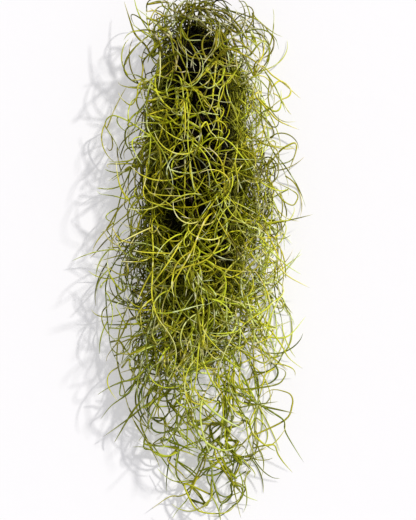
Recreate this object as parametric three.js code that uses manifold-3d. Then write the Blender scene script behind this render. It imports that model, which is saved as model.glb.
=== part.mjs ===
// Spanish moss (Tillandsia usneoides): one bunch as picked, lying on a flat surface.
//
// Millimetres. The bunch lies along Y with the end that it hung by at +Y, and spreads in X.
// Z is up from the surface that it lies on, which is z = 0.
// An old, black, wiry heart carries leafy green festoons, which are rooted on it in tiers. A
// festoon is a wandering stem with a thread-like, curling leaf at each joint. A seeded rule
// grows them one by one, and bends each clear of what has grown before it.
import * as THREE from "three";
import { mergeVertices } from "three/addons/utils/BufferGeometryUtils.js";
import Module from "manifold-3d";

const wasm = await Module();
wasm.setup();

// The bunch
const HALF_LENGTH = 205;
const HALF_WIDTH = 93;
const TOP = 82;
const BOX_MARGIN = 5; // all but the longest leaves stay this far inside the bunch's box
const CLEAR = 0.35; // least gap between two festoons, and between a festoon and the heart

// Threads: stems, leaves and the heart's bare old stems
const STEM_RADIUS = 0.85;
const LEAF_RADIUS = 0.75;
const TIP_RADIUS = 0.35;
const THREAD_SIDES = 3;
const SLIVER = 0.12; // bends smaller than this are evened out where threads join

// The bunch's outline: [y, middle x, half width, height]
const OUTLINE = [
  [205, 2, 22, 34],
  [172, 8, 47, 58],
  [120, 7, 54, 72],
  [45, 9, 68, 76],
  [-15, 6, 68, 74],
  [-90, 9, 62, 60],
  [-135, 15, 50, 48],
  [-170, 18, 32, 34],
  [-205, 18, 18, 24],
];
const OUTLINE_REACH = 20; // how far threads may stand out of the outline

// The heart's dense body: [y, middle x, half width], with a lump of up to LUMP of the half width
const HEART = [
  [180, 2, 0],
  [174, 3, 12],
  [156, 5, 23],
  [126, 6, 31],
  [84, 4, 34],
  [18, 4, 34],
  [-30, 3, 28],
  [-60, 2, 18],
  [-78, 2, 9],
  [-84, 2, 0],
];
const HEART_PITCH = 13.2; // from one ring of its surface to the next
const HEART_AROUND = 16; // points on a ring
const HEART_MIDDLE_Z = 20;
const HEART_FLATTENING = 0.74; // half height over half width
const LUMP = 0.14;

// Festoons in tiers. ring is where the tier is rooted on the heart, counted from the hung end,
// and every second festoon is rooted one ring lower. They go round the heart's upper side from
// the angle first to the angle last in degrees, where 0 is the right side and 90 the top. shell
// is how far out the stems lie, as a share of the outline, and fall pulls them to the tail, or
// if below 0 to the hung end.
const TIERS = [
  { name: "crown", ring: 1, count: 4, first: 22, last: 158, length: 44, shell: 0.8, fall: -0.3 },
  { name: "shoulder", ring: 3, count: 6, first: 0, last: 180, length: 105, shell: 0.84, fall: 0.3 },
  { name: "chest", ring: 7, count: 7, first: -22, last: 202, length: 112, shell: 0.88, fall: 0.3 },
  { name: "waist", ring: 11, count: 6, first: 0, last: 180, length: 122, shell: 0.84, fall: 0.3 },
  { name: "hip", ring: 15, count: 5, first: -22, last: 202, length: 150, shell: 0.8, fall: 0.4 },
  { name: "tail", ring: 18, count: 4, first: 0, last: 180, length: 130, shell: 0.45, fall: 0.4 },
];

// A stem's growth
const STEM_STEP = 11;
const NECK = 4; // it stands straight out of the heart this far
const HOLD = 1.4; // pull back to its own depth in the bunch
const EASE = 0.45; // share of its way in or out that it loses at each step
const SWAY = 0.45; // sideways wander
const SWAY_TURN = 0.8; // how soon the wander changes its way
const STEM_TRIES = 80;

// A leaf's growth
const LEAVES = 9; // on each festoon
const LEAF_STEPS = 5;
const LEAF_LENGTH = [26, 50];
const LEAF_SLANT = [25, 75]; // degrees from its stem
const LEAF_CURL = [30, 150]; // degrees from its root to its tip
const LEAF_TILT = 15; // degrees that its curl leans over at each step
const LEAF_OUTWARD = 0.6; // how much more leaves grow out of the bunch than into it
const LEAF_TRIES = 60;
const CROWDED = 9; // leaves may touch this near their joint

// The longest leaves, which set the bunch's box: each springs from the joint nearest to from
const LONG_LEAVES = [
  { from: [-50, 12, 24], to: [-HALF_WIDTH, -1, 9] },
  { from: [56, 30, 28], to: [HALF_WIDTH, 35, 14] },
  { from: [-24, 172, 32], to: [-44, HALF_LENGTH, 22] },
  { from: [18, -172, 12], to: [22, -HALF_LENGTH, 3] },
];
const LONG_LEAF_BOW = 0.2; // share of its length
const LONG_LEAF_BEND = 0.45; // where it bows most, from its root to its tip

// Bare old stems wound on the heart, from near its hung end to near its tail
const BARE_STEMS = 14;
const BARE_FROM = 164;
const BARE_TO = -56;
const BARE_LENGTH = 46;
const BARE_SUNK = 1.5;
const BARE_RISE = [0.2, 0.7]; // how steeply they come out of the heart
const BARE_CURL = 110; // degrees that they bend back towards it

// Seeds, far enough apart that no two threads share one
const STEM_SEED = 1000;
const LEAF_SEED = 100000;
const LONG_LEAF_SEED = 70000;
const BARE_SEED = 90000;

// Seeded numbers from 0 to 1 (mulberry32)
function draws(seed) {
  let state = seed >>> 0;
  return () => {
    state = (state + 0x6d2b79f5) >>> 0;
    let t = state;
    t = Math.imul(t ^ (t >>> 15), t | 1);
    t ^= t + Math.imul(t ^ (t >>> 7), t | 61);
    return ((t ^ (t >>> 14)) >>> 0) / 2 ** 32;
  };
}

// A direction drawn evenly over the sphere
function anyWay(draw) {
  const z = 2 * draw() - 1;
  const turn = 2 * Math.PI * draw();
  const flat = Math.sqrt(1 - z * z);
  return new THREE.Vector3(flat * Math.cos(turn), flat * Math.sin(turn), z);
}

function drawIn([low, high], draw) {
  return low + (high - low) * draw();
}

// The row of a table at y, read off straight between its stations
function rowAt(table, y) {
  const below = table.findIndex((row) => row[0] <= y);
  if (below < 0) return table[table.length - 1].slice(1);
  if (below === 0) return table[0].slice(1);
  const [upper, lower] = [table[below - 1], table[below]];
  const share = (upper[0] - y) / (upper[0] - lower[0]);
  return upper.slice(1).map((value, i) => value + (lower[i + 1] - value) * share);
}

// How far out a place lies in the outline's section, 1 being the outline, and the way out there
function depthAt(place) {
  const [middle, halfWidth, height] = rowAt(OUTLINE, place.y);
  const out = new THREE.Vector3((place.x - middle) / halfWidth, 0, place.z / height);
  const share = out.length();
  return { share, out: out.divideScalar(Math.max(share, 1e-6)) };
}

// A place on the heart's surface, which is cut flat where it rests
function heartPlace(y, angle) {
  const [middle, halfWidth] = rowAt(HEART, y);
  const waves = Math.sin(5 * angle + y / 9) + Math.sin(3 * angle - y / 14);
  const out = halfWidth * (1 + (LUMP / 2) * waves);
  const z = HEART_MIDDLE_Z + HEART_FLATTENING * out * Math.sin(angle);
  return new THREE.Vector3(middle + out * Math.cos(angle), y, Math.max(z, 0));
}

function heartNormal(y, angle) {
  const step = 0.5;
  const turn = 0.02;
  const along = heartPlace(y - step, angle).sub(heartPlace(y + step, angle));
  const around = heartPlace(y, angle + turn).sub(heartPlace(y, angle - turn));
  return around.cross(along).normalize();
}

const heartRingY = (ring) => HEART[0][0] - ring * HEART_PITCH;

// True if a ball of that radius there would meet the heart
function meetsHeart(place, radius) {
  const [middle, halfWidth] = rowAt(HEART, place.y);
  if (halfWidth === 0) return false;
  const wide = halfWidth * (1 + LUMP) + radius;
  const high = halfWidth * (1 + LUMP) * HEART_FLATTENING + radius;
  return Math.hypot((place.x - middle) / wide, (place.z - HEART_MIDDLE_Z) / high) < 1;
}

// Least distance between the stretches a-b and c-d
function apart(a, b, c, d) {
  const [ab, cd, ca] = [b.clone().sub(a), d.clone().sub(c), a.clone().sub(c)];
  const [abab, cdcd, abcd] = [ab.dot(ab), cd.dot(cd), ab.dot(cd)];
  const [abca, cdca] = [ab.dot(ca), cd.dot(ca)];
  const cross = abab * cdcd - abcd * abcd;
  let s = cross > 1e-9 ? THREE.MathUtils.clamp((abcd * cdca - abca * cdcd) / cross, 0, 1) : 0;
  let t = (abcd * s + cdca) / cdcd;
  if (t < 0 || t > 1) {
    t = THREE.MathUtils.clamp(t, 0, 1);
    s = THREE.MathUtils.clamp((abcd * t - abca) / abab, 0, 1);
  }
  return ca.addScaledVector(ab, s).addScaledVector(cd, -t).length();
}

// All the straight stretches that have grown: { owner, a, b, radius }. owner is the number of
// the festoon, or HEART_OWNER.
const HEART_OWNER = -1;
const grown = [];

function keep(owner, path, radius) {
  for (let i = 1; i < path.length; i++) {
    grown.push({ owner, a: path[i - 1], b: path[i], radius });
  }
}

// True if a thread along the path is in the bunch's box and outline, off the heart past its
// first stretch unless it is the heart's own, and clear of all that has grown, other than its
// own festoon near its root
function isClear(owner, path, radius) {
  const inside = path.every(
    (p) =>
      Math.abs(p.x) < HALF_WIDTH - BOX_MARGIN &&
      Math.abs(p.y) < HALF_LENGTH - BOX_MARGIN &&
      p.z < TOP &&
      depthAt(p).share < 1 + OUTLINE_REACH / rowAt(OUTLINE, p.y)[1],
  );
  if (!inside) return false;
  return path.slice(1).every((b, i) => {
    const a = path[i];
    const offHeart = (place) => !meetsHeart(place, radius + CLEAR);
    const free = i === 0 || owner === HEART_OWNER;
    if (!free && ![a.clone().lerp(b, 0.5), b].every(offHeart)) return false;
    return grown.every((other) => {
      const gap = apart(a, b, other.a, other.b);
      if (gap > radius + other.radius + CLEAR) return true;
      const nearRoot = Math.min(other.a.distanceTo(path[0]), other.b.distanceTo(path[0]));
      return other.owner === owner && i === 0 && nearRoot < CROWDED;
    });
  });
}

function firstClear(owner, seed, tries, radius, grow) {
  for (let i = 0; i < tries; i++) {
    const path = grow(draws(seed + i));
    if (isClear(owner, path, radius)) {
      keep(owner, path, radius);
      return path;
    }
  }
  return null;
}

// A place is lifted off the surface that the bunch lies on, and its heading no longer dips
function land(place, heading, radius) {
  if (place.z >= radius) return;
  place.z = radius;
  heading.z = Math.max(heading.z, 0);
  heading.normalize();
}

// A stem stands straight out of the heart, then falls, wanders and keeps to its own depth
function growStem(draw, root, normal, tier) {
  const place = root.clone().addScaledVector(normal, NECK);
  const path = [root.clone(), place.clone()];
  const heading = normal.clone();
  const sway = anyWay(draw);
  for (let i = 0; i < Math.round(tier.length / STEM_STEP); i++) {
    const { share, out } = depthAt(place);
    sway.addScaledVector(anyWay(draw), SWAY_TURN).normalize();
    heading.addScaledVector(out, (tier.shell - share) * HOLD - heading.dot(out) * EASE);
    heading.addScaledVector(sway, SWAY);
    heading.y -= tier.fall;
    heading.normalize();
    place.addScaledVector(heading, STEM_STEP);
    land(place, heading, STEM_RADIUS);
    path.push(place.clone());
  }
  return path;
}

// A leaf leaves its joint at a slant, mostly outwards, and curls about one slowly leaning axis
function growLeaf(draw, root, along) {
  const length = drawIn(LEAF_LENGTH, draw);
  const slant = THREE.MathUtils.degToRad(drawIn(LEAF_SLANT, draw));
  const curl = THREE.MathUtils.degToRad(drawIn(LEAF_CURL, draw)) / LEAF_STEPS;
  const tilt = THREE.MathUtils.degToRad(drawIn([-LEAF_TILT, LEAF_TILT], draw));
  const aside = anyWay(draw).addScaledVector(depthAt(root).out, LEAF_OUTWARD);
  aside.addScaledVector(along, -aside.dot(along)).normalize();
  const heading = along.clone().multiplyScalar(Math.cos(slant));
  heading.addScaledVector(aside, Math.sin(slant));
  const axis = new THREE.Vector3().crossVectors(heading, anyWay(draw)).normalize();
  const place = root.clone();
  const path = [root.clone()];
  for (let i = 0; i < LEAF_STEPS; i++) {
    place.addScaledVector(heading, length / LEAF_STEPS);
    land(place, heading, LEAF_RADIUS);
    path.push(place.clone());
    heading.applyAxisAngle(axis, curl);
    axis.applyAxisAngle(heading, tilt);
  }
  return path;
}

// A bare stem comes out of the heart's upper side and bends back over it
function growBareStem(draw, y) {
  const angle = Math.PI * draw();
  const normal = heartNormal(y, angle);
  const place = heartPlace(y, angle).addScaledVector(normal, -BARE_SUNK);
  const heading = anyWay(draw);
  heading.addScaledVector(normal, -heading.dot(normal)).normalize();
  const axis = new THREE.Vector3().crossVectors(normal, heading);
  heading.addScaledVector(normal, drawIn(BARE_RISE, draw)).normalize();
  const path = [place.clone()];
  for (let i = 0; i < LEAF_STEPS; i++) {
    place.addScaledVector(heading, BARE_LENGTH / LEAF_STEPS);
    land(place, heading, STEM_RADIUS);
    path.push(place.clone());
    heading.applyAxisAngle(axis, THREE.MathUtils.degToRad(BARE_CURL) / LEAF_STEPS);
  }
  return path;
}

// A long leaf is one bow from its root to its given tip
function growLongLeaf(draw, root, tip) {
  const bend = root.clone().lerp(tip, LONG_LEAF_BEND);
  bend.addScaledVector(anyWay(draw), LONG_LEAF_BOW * root.distanceTo(tip));
  const path = new THREE.QuadraticBezierCurve3(root, bend, tip).getPoints(LEAF_STEPS + 1);
  for (const place of path) place.z = Math.max(place.z, LEAF_RADIUS);
  return path;
}

// First the festoons' stems
const festoons = [];
for (const tier of TIERS) {
  for (let k = 0; k < tier.count; k++) {
    const owner = festoons.length;
    const degrees = tier.first + ((tier.last - tier.first) * k) / (tier.count - 1);
    const around = Math.round((degrees * HEART_AROUND) / 360);
    const angle = (2 * Math.PI * around) / HEART_AROUND;
    const y = heartRingY(tier.ring + (k % 2));
    const normal = heartNormal(y, angle);
    const root = heartPlace(y, angle).addScaledVector(normal, CLEAR + 0.1);
    const path = firstClear(owner, STEM_SEED * owner, STEM_TRIES, STEM_RADIUS, (draw) =>
      growStem(draw, root, normal, tier),
    );
    if (!path) throw new Error(`${tier.name} festoon ${k + 1} finds no clear way`);
    festoons.push({ name: `${tier.name}_festoon_${k + 1}`, stem: path, leaves: [] });
  }
}

// Then the heart's bare stems
const bareStems = [];
for (let k = 0; k < BARE_STEMS; k++) {
  const y = BARE_FROM + ((BARE_TO - BARE_FROM) * k) / (BARE_STEMS - 1);
  const seed = BARE_SEED + STEM_TRIES * k;
  const path = firstClear(HEART_OWNER, seed, STEM_TRIES, STEM_RADIUS, (draw) =>
    growBareStem(draw, y),
  );
  if (path) bareStems.push(path);
}

// Then the longest leaves, whose tips alone reach the edge of the box
LONG_LEAVES.forEach(({ from, to }, k) => {
  const [near, tip] = [new THREE.Vector3(...from), new THREE.Vector3(...to)];
  const joints = festoons.flatMap(({ stem }, owner) =>
    stem.slice(2).map((joint) => ({ owner, joint, far: joint.distanceTo(near) })),
  );
  const { owner, joint } = joints.sort((a, b) => a.far - b.far)[0];
  for (let i = 0; i < LEAF_TRIES; i++) {
    const path = growLongLeaf(draws(LONG_LEAF_SEED + LEAF_TRIES * k + i), joint, tip);
    if (!isClear(owner, path.slice(0, -2), LEAF_RADIUS)) continue;
    keep(owner, path, LEAF_RADIUS);
    festoons[owner].leaves.push(path);
    break;
  }
});

// Then the other leaves, one on each festoon in turn
for (let leaf = 0; leaf < LEAVES; leaf++) {
  festoons.forEach(({ stem, leaves }, owner) => {
    const stretch = 1 + Math.floor(((stem.length - 2) * (leaf + 0.5)) / LEAVES);
    const [above, below] = [stem[stretch], stem[stretch + 1]];
    const root = above.clone().lerp(below, 0.5);
    const along = below.clone().sub(above).normalize();
    const seed = LEAF_SEED + LEAF_TRIES * (leaf + LEAVES * owner);
    const path = firstClear(owner, seed, LEAF_TRIES, LEAF_RADIUS, (draw) =>
      growLeaf(draw, root, along),
    );
    if (path) leaves.push(path);
  });
}

// A closed geometry as a solid that can be joined
function solidOf(geometry) {
  geometry.deleteAttribute("normal");
  geometry.deleteAttribute("uv");
  const merged = mergeVertices(geometry, 1e-4);
  return new wasm.Manifold(
    new wasm.Mesh({
      numProp: 3,
      vertProperties: merged.attributes.position.array,
      triVerts: new Uint32Array(merged.index.array),
    }),
  );
}

function meshOf(name, solids, material) {
  const joined = wasm.Manifold.union(solids).asOriginal().simplify(SLIVER);
  const { vertProperties, triVerts } = joined.getMesh();
  const geometry = new THREE.BufferGeometry();
  geometry.setAttribute("position", new THREE.BufferAttribute(vertProperties, 3));
  geometry.setIndex(new THREE.BufferAttribute(triVerts, 1));
  geometry.computeVertexNormals();
  const mesh = new THREE.Mesh(geometry, material);
  mesh.name = name;
  return mesh;
}

// A thread along a path: a cylinder whose rings are set square to the path, without twist
function thread(path, radiusAt) {
  const stretches = path.length - 1;
  const geometry = new THREE.CylinderGeometry(1, 1, stretches, THREAD_SIDES, stretches);
  const frames = [];
  let side = new THREE.Vector3(0.3, 0.2, 1);
  for (let i = 0; i <= stretches; i++) {
    const before = path[Math.max(i - 1, 0)];
    const after = path[Math.min(i + 1, stretches)];
    const along = after.clone().sub(before).normalize();
    side = side.clone().addScaledVector(along, -side.dot(along)).normalize();
    frames.push({ side, across: new THREE.Vector3().crossVectors(side, along) });
  }
  const { position } = geometry.attributes;
  for (let i = 0; i < position.count; i++) {
    const ring = Math.round(position.getY(i) + stretches / 2);
    const radius = radiusAt(ring / stretches);
    const place = path[ring].clone();
    place.addScaledVector(frames[ring].side, position.getX(i) * radius);
    place.addScaledVector(frames[ring].across, position.getZ(i) * radius);
    position.setXYZ(i, place.x, place.y, Math.max(place.z, 0));
  }
  return solidOf(geometry);
}

// A thread is full round to its middle and then tapers to its tip
function tapered(radius) {
  return (share) => radius + (TIP_RADIUS - radius) * Math.max(2 * share - 1, 0);
}

// The heart's body: rings on an axis along Y, pushed out to the heart's surface
function heartBody() {
  const rings = (HEART[0][0] - HEART[HEART.length - 1][0]) / HEART_PITCH;
  const profile = [];
  for (let i = 0; i <= rings; i++) {
    profile.push(new THREE.Vector2(i === 0 || i === rings ? 0 : 1, heartRingY(i)));
  }
  const geometry = new THREE.LatheGeometry(profile, HEART_AROUND, Math.PI / 2);
  const { position } = geometry.attributes;
  for (let i = 0; i < position.count; i++) {
    const angle = Math.atan2(-position.getZ(i), position.getX(i));
    const place = heartPlace(position.getY(i), angle);
    position.setXYZ(i, place.x, place.y, place.z);
  }
  return solidOf(geometry);
}

const GREEN = new THREE.MeshStandardMaterial({ color: 0x8f9428, roughness: 0.6, metalness: 0 });
const BLACK = new THREE.MeshStandardMaterial({ color: 0x17160c, roughness: 0.8, metalness: 0 });

const moss = new THREE.Group();
const bareThreads = bareStems.map((path) => thread(path, tapered(STEM_RADIUS)));
moss.add(meshOf("heart", [heartBody(), ...bareThreads], BLACK));
for (const { name, stem, leaves } of festoons) {
  const leafThreads = leaves.map((path) => thread(path, tapered(LEAF_RADIUS)));
  moss.add(meshOf(name, [thread(stem, tapered(STEM_RADIUS)), ...leafThreads], GREEN));
}

export default moss;
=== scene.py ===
"""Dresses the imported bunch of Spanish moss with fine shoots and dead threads, and sets its stage.

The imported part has 32 festoons, each one wandering stem with a few leaves, on a dark heart. Here
the source's growth rule runs again, with the same seeds, so that each festoon is regrown where it
hangs, smooth and tapered. The same rule then grows the many shoots that hang round it.
Growth is worked out in millimetres, and meshes are in metres.
"""

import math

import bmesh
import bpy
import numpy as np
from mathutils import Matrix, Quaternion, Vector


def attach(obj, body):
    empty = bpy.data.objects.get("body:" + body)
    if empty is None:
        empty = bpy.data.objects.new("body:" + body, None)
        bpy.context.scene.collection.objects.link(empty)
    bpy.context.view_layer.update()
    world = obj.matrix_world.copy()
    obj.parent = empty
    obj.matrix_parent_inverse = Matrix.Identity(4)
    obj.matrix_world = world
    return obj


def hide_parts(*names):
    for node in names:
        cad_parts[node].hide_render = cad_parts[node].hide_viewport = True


bl_info = {
    "name": "Spanish moss bunch",
    "version": (1, 0, 0),
    "blender": (4, 5, 0),
    "location": "3D View > Sidebar > Moss",
    "description": "Grows a bunch of Spanish moss round its packed frame",
    "category": "Add Mesh",
}

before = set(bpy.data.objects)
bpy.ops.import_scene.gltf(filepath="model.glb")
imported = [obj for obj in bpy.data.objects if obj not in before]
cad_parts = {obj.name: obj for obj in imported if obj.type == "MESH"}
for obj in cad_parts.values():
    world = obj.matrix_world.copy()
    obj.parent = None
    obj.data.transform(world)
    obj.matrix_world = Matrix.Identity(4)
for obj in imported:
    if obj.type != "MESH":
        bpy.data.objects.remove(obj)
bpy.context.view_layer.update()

MM = 0.001
BAKE_MAP = "OFBake"

# The bunch, as the source has it
HALF_LENGTH = 205
HALF_WIDTH = 93
TOP = 82
BOX_MARGIN = 5
CLEAR = 0.35
STEM_RADIUS = 0.85
LEAF_RADIUS = 0.75
OUTLINE = [
    (205, 2, 22, 34),
    (172, 8, 47, 58),
    (120, 7, 54, 72),
    (45, 9, 68, 76),
    (-15, 6, 68, 74),
    (-90, 9, 62, 60),
    (-135, 15, 50, 48),
    (-170, 18, 32, 34),
    (-205, 18, 18, 24),
]  # y, middle x, half width, height
OUTLINE_REACH = 20
HEART = [
    (180, 2, 0),
    (174, 3, 12),
    (156, 5, 23),
    (126, 6, 31),
    (84, 4, 34),
    (18, 4, 34),
    (-30, 3, 28),
    (-60, 2, 18),
    (-78, 2, 9),
    (-84, 2, 0),
]  # y, middle x, half width
HEART_PITCH = 13.2
HEART_AROUND = 16
HEART_MIDDLE_Z = 20
HEART_FLATTENING = 0.74
LUMP = 0.14
LUMP_WAVES = ((5, 9), (3, -14))  # waves round the heart, and its length to each radian of them

# Festoons in tiers, from the hung end down: how many fine shoots hang round each of them, which
# share of those is left out where the heart shows, how much further out than elsewhere they hang,
# and how long they are as a share of the festoon
TIERS = [
    dict(
        name="crown", ring=1, count=4, first=22, last=158,
        length=44, shell=0.8, fall=-0.3, shoots=10, bare=1, spread=0, share=1,
    ),
    dict(
        name="shoulder", ring=3, count=6, first=0, last=180,
        length=105, shell=0.84, fall=0.3, shoots=11, bare=0.66, spread=0.04, share=1,
    ),
    dict(
        name="chest", ring=7, count=7, first=-22, last=202,
        length=112, shell=0.88, fall=0.3, shoots=10, bare=0.76, spread=0.04, share=1,
    ),
    dict(
        name="waist", ring=11, count=6, first=0, last=180,
        length=122, shell=0.84, fall=0.3, shoots=10, bare=0.26, spread=0.12, share=1,
    ),
    dict(
        name="hip", ring=15, count=5, first=-22, last=202,
        length=150, shell=0.8, fall=0.4, shoots=7, bare=0.15, spread=-0.1, share=0.72,
    ),
    dict(
        name="tail", ring=18, count=4, first=0, last=180,
        length=130, shell=0.45, fall=0.4, shoots=1, bare=0, spread=-0.25, share=1,
    ),
]
STEM_STEP = 11
NECK = 4
HOLD = 1.4
EASE = 0.45
SWAY = 0.45
SWAY_TURN = 0.8
STEM_TRIES = 80
LEAVES = 9
LEAF_STEPS = 5
LEAF_LENGTH = (26, 50)
LEAF_SLANT = (25, 75)
LEAF_CURL = (30, 150)
LEAF_TILT = 15
LEAF_OUTWARD = 0.6
LEAF_TRIES = 60
CROWDED = 9
LONG_LEAVES = [
    ((-50, 12, 24), (-HALF_WIDTH, -1, 9)),
    ((56, 30, 28), (HALF_WIDTH, 35, 14)),
    ((-24, 172, 32), (-44, HALF_LENGTH, 22)),
    ((18, -172, 12), (22, -HALF_LENGTH, 3)),
]
LONG_LEAF_BOW = 0.2
LONG_LEAF_BEND = 0.45
BARE_STEMS = 14
BARE_FROM = 164
BARE_TO = -56
BARE_LENGTH = 46
BARE_SUNK = 1.5
BARE_RISE = (0.2, 0.7)
BARE_CURL = 110
STEM_SEED = 1000
LEAF_SEED = 100000
LONG_LEAF_SEED = 70000
BARE_SEED = 90000
HEART_OWNER = -1
ROOT_GAP = CLEAR + 0.1

# The fine shoots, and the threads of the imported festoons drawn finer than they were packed
FINE_STEM = 0.54
FINE_LEAF = 0.49
SHOOT_SEED = 200000
BARE_ANGLE = 85  # degrees round from the right to where the heart shows most
LEFT_SHARE = 0.25  # how many more shoots there are at the left, and fewer at the right
# Painted light and shade: shoots at the right, where the sun is, are lighter, and at the left darker
SIDE_PAINTED_LIGHT = 0.12  # how much lighter a shoot at the right is, and darker one at the left
SHOOT_TURN = 24  # degrees that a shoot's root may be off its festoon's
SHOOT_SHIFT = 16  # millimetres that it may be off it along the bunch
SHOOT_SHELL = (0.35, 1.1)  # as a share of its tier's
SIDE_SHELL = 0.2  # how much less of it a shoot at the side has
RIGHT_SHELL = 0.07  # how much more of it a shoot at the right has, and less at the left
SHOOT_LENGTH = (0.6, 1.15)
SHOOT_SWAY = (0.3, 0.8)
SHOOT_STEP = 8
SHOOT_RADIUS = (0.39, 0.6)
FINE_LEAF_RADIUS = (0.34, 0.53)
FINE_LEAF_STEPS = 11
FINE_LEAF_LENGTH = (20, 50)
FINE_LEAF_SLANT = (15, 65)
FINE_LEAF_CURL = (25, 340)
FINE_LEAF_CURLING = 1.4  # higher for fewer curly leaves
FINE_LEAF_TILT = 70
FINE_LEAF_OUTWARD = 0.2
FINE_LEAF_RETURN = 0.7  # how much it curls back to the bunch
FINE_LEAF_REACH = (-15, 10)  # millimetres past the outline
LEAVES_AT_JOINT = (0, 1, 1, 2)
LEAF_TONE = 0.4  # how much lighter or darker than its shoot a leaf may be
AGED = 0.07  # the share of leaves that have withered
HOOK = (-1.3, 0.9)  # how much more a leaf curls at its tip than at its root, less than -1 for an S
SHOOT_TRIES = 12
LEAF_RETRIES = 3

# Between these two places along it the bunch gets loose and lets light in, and after them comes
# what a wholly loose part adds to a thread's measures
OPEN_FROM = 30
OPEN_TO = -110
OPEN_SLANT = 32
OPEN_REACH = 16
OPEN_OUTWARD = 0.7
OPEN_LENGTH = 8
OPEN_CURL = -170
OPEN_THICKNESS = 0.5  # as a share of its radius
OPEN_SWAY = 0.45
OPEN_FALL = -0.4  # as a share of its fall

# How every thread is drawn
STEM_PARTS = 3  # fine stretches for each stretch of a stem, or of a festoon's own leaf
LOOP_PARTS = 5
LEAF_PARTS = 1
TIP_SHARE = 0.3  # its radius just before its point, as a share of its widest
TAPER = 1.2  # higher for a thread that stays thick for longer
CAP = 0.12  # millimetres from its end to where it is full round
OWN_SHEATH = 0.2  # how much wider a festoon's own leaf is at its base
FINE_SHEATH = 0.3
SHEATH_LENGTH = 0.05  # as a share of the leaf's
LIVING_SIDES = 6
DEAD_SIDES = 4
WELD = MM / 1000
THREAD_MARKS = ("along", "shade", "outer", "age")  # what the finishes read off a thread
# How wide the painted shade round the heart is, as a share of the heart's width
HEART_SHADE_WIDTH = 0.7  # the width of the heart's dark, as a share of the heart's
SHADE_SHIFT = Vector((9, 0, 0))  # the side that the sun is on is lit further in
FACE_CORNERS = 4
MAP_SHAPE = 9  # how much longer than wide a thread's cell of the map is
MAP_MARGINS = (0.02, 0.12)  # as shares of a cell

# Stems that rise from the heart to the end that the bunch hung by
RISER_FESTOON = 1
RISERS = 10
RISER_ROOT_Y = (170, 177)
RISER_ROOT_ANGLE = (35, 145)
RISER_STEPS = 4
RISER_LEAN = 2.5
RISER_DIP = 1

# The heart's dead threads
THREAD_SEED = 500000
DEAD_THREADS = 780
DEAD_LENGTH = (50, 120)
DEAD_STEP = 5
DEAD_RADIUS = (0.35, 0.65)
DEAD_RISE = (-0.6, 4)
DEAD_WANDER = 22  # degrees at each step
DEAD_WAY = 70  # degrees that it may start off the bunch's own way
DEAD_WAVE = 0.6  # radians that its rise goes on at each step
DEAD_ENDS = (8, 6)  # millimetres that its start keeps from the heart's lower and upper end
DEAD_END_ROOM = 2  # millimetres that all of it keeps from them
DEAD_NARROWEST = 6  # the least half width of the heart that it turns round
BARE_TONE = 0.9
WITHERED_TONE = 0.95

# The heart's dark core
CORE_INSET = 2.4
CORE_END_INSET = 14  # at its lower end
CORE_FINENESS = 2.2  # millimetres between its points
CORE_WELD = MM / 100

# Withered strands that stand out at the top, each through these places
WITHERED = [
    [(-8, 158, 34), (-16, 163, 40), (-24, 160, 42), (-31, 153, 38), (-33, 148, 33)],
    [(-10, 160, 36), (-17, 166, 43), (-25, 161, 45), (-30, 155, 41), (-36, 151, 36), (-40, 154, 33)],
    [(-12, 162, 36), (-18, 170, 42), (-24, 172, 45), (-24, 166, 47), (-19, 165, 47), (-16, 170, 45)],
    [(8, 170, 16), (12, 184, 18), (17, 196, 22), (24, 196, 28), (31, 191, 32)],
]

# The picture, seen from straight above
PICTURE = (416, 520)  # pixels across and down
FRAME_HEIGHT = 390  # millimetres that the picture's height spans
FRAME_MIDDLE_X = 12.4
FRAME_PLANE = 35  # the height where the picture's scale holds
PIXEL = FRAME_HEIGHT / PICTURE[1]
LENS = 85
SENSOR = 36
VIEW_DISTANCE = FRAME_HEIGHT * LENS / SENSOR
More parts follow.
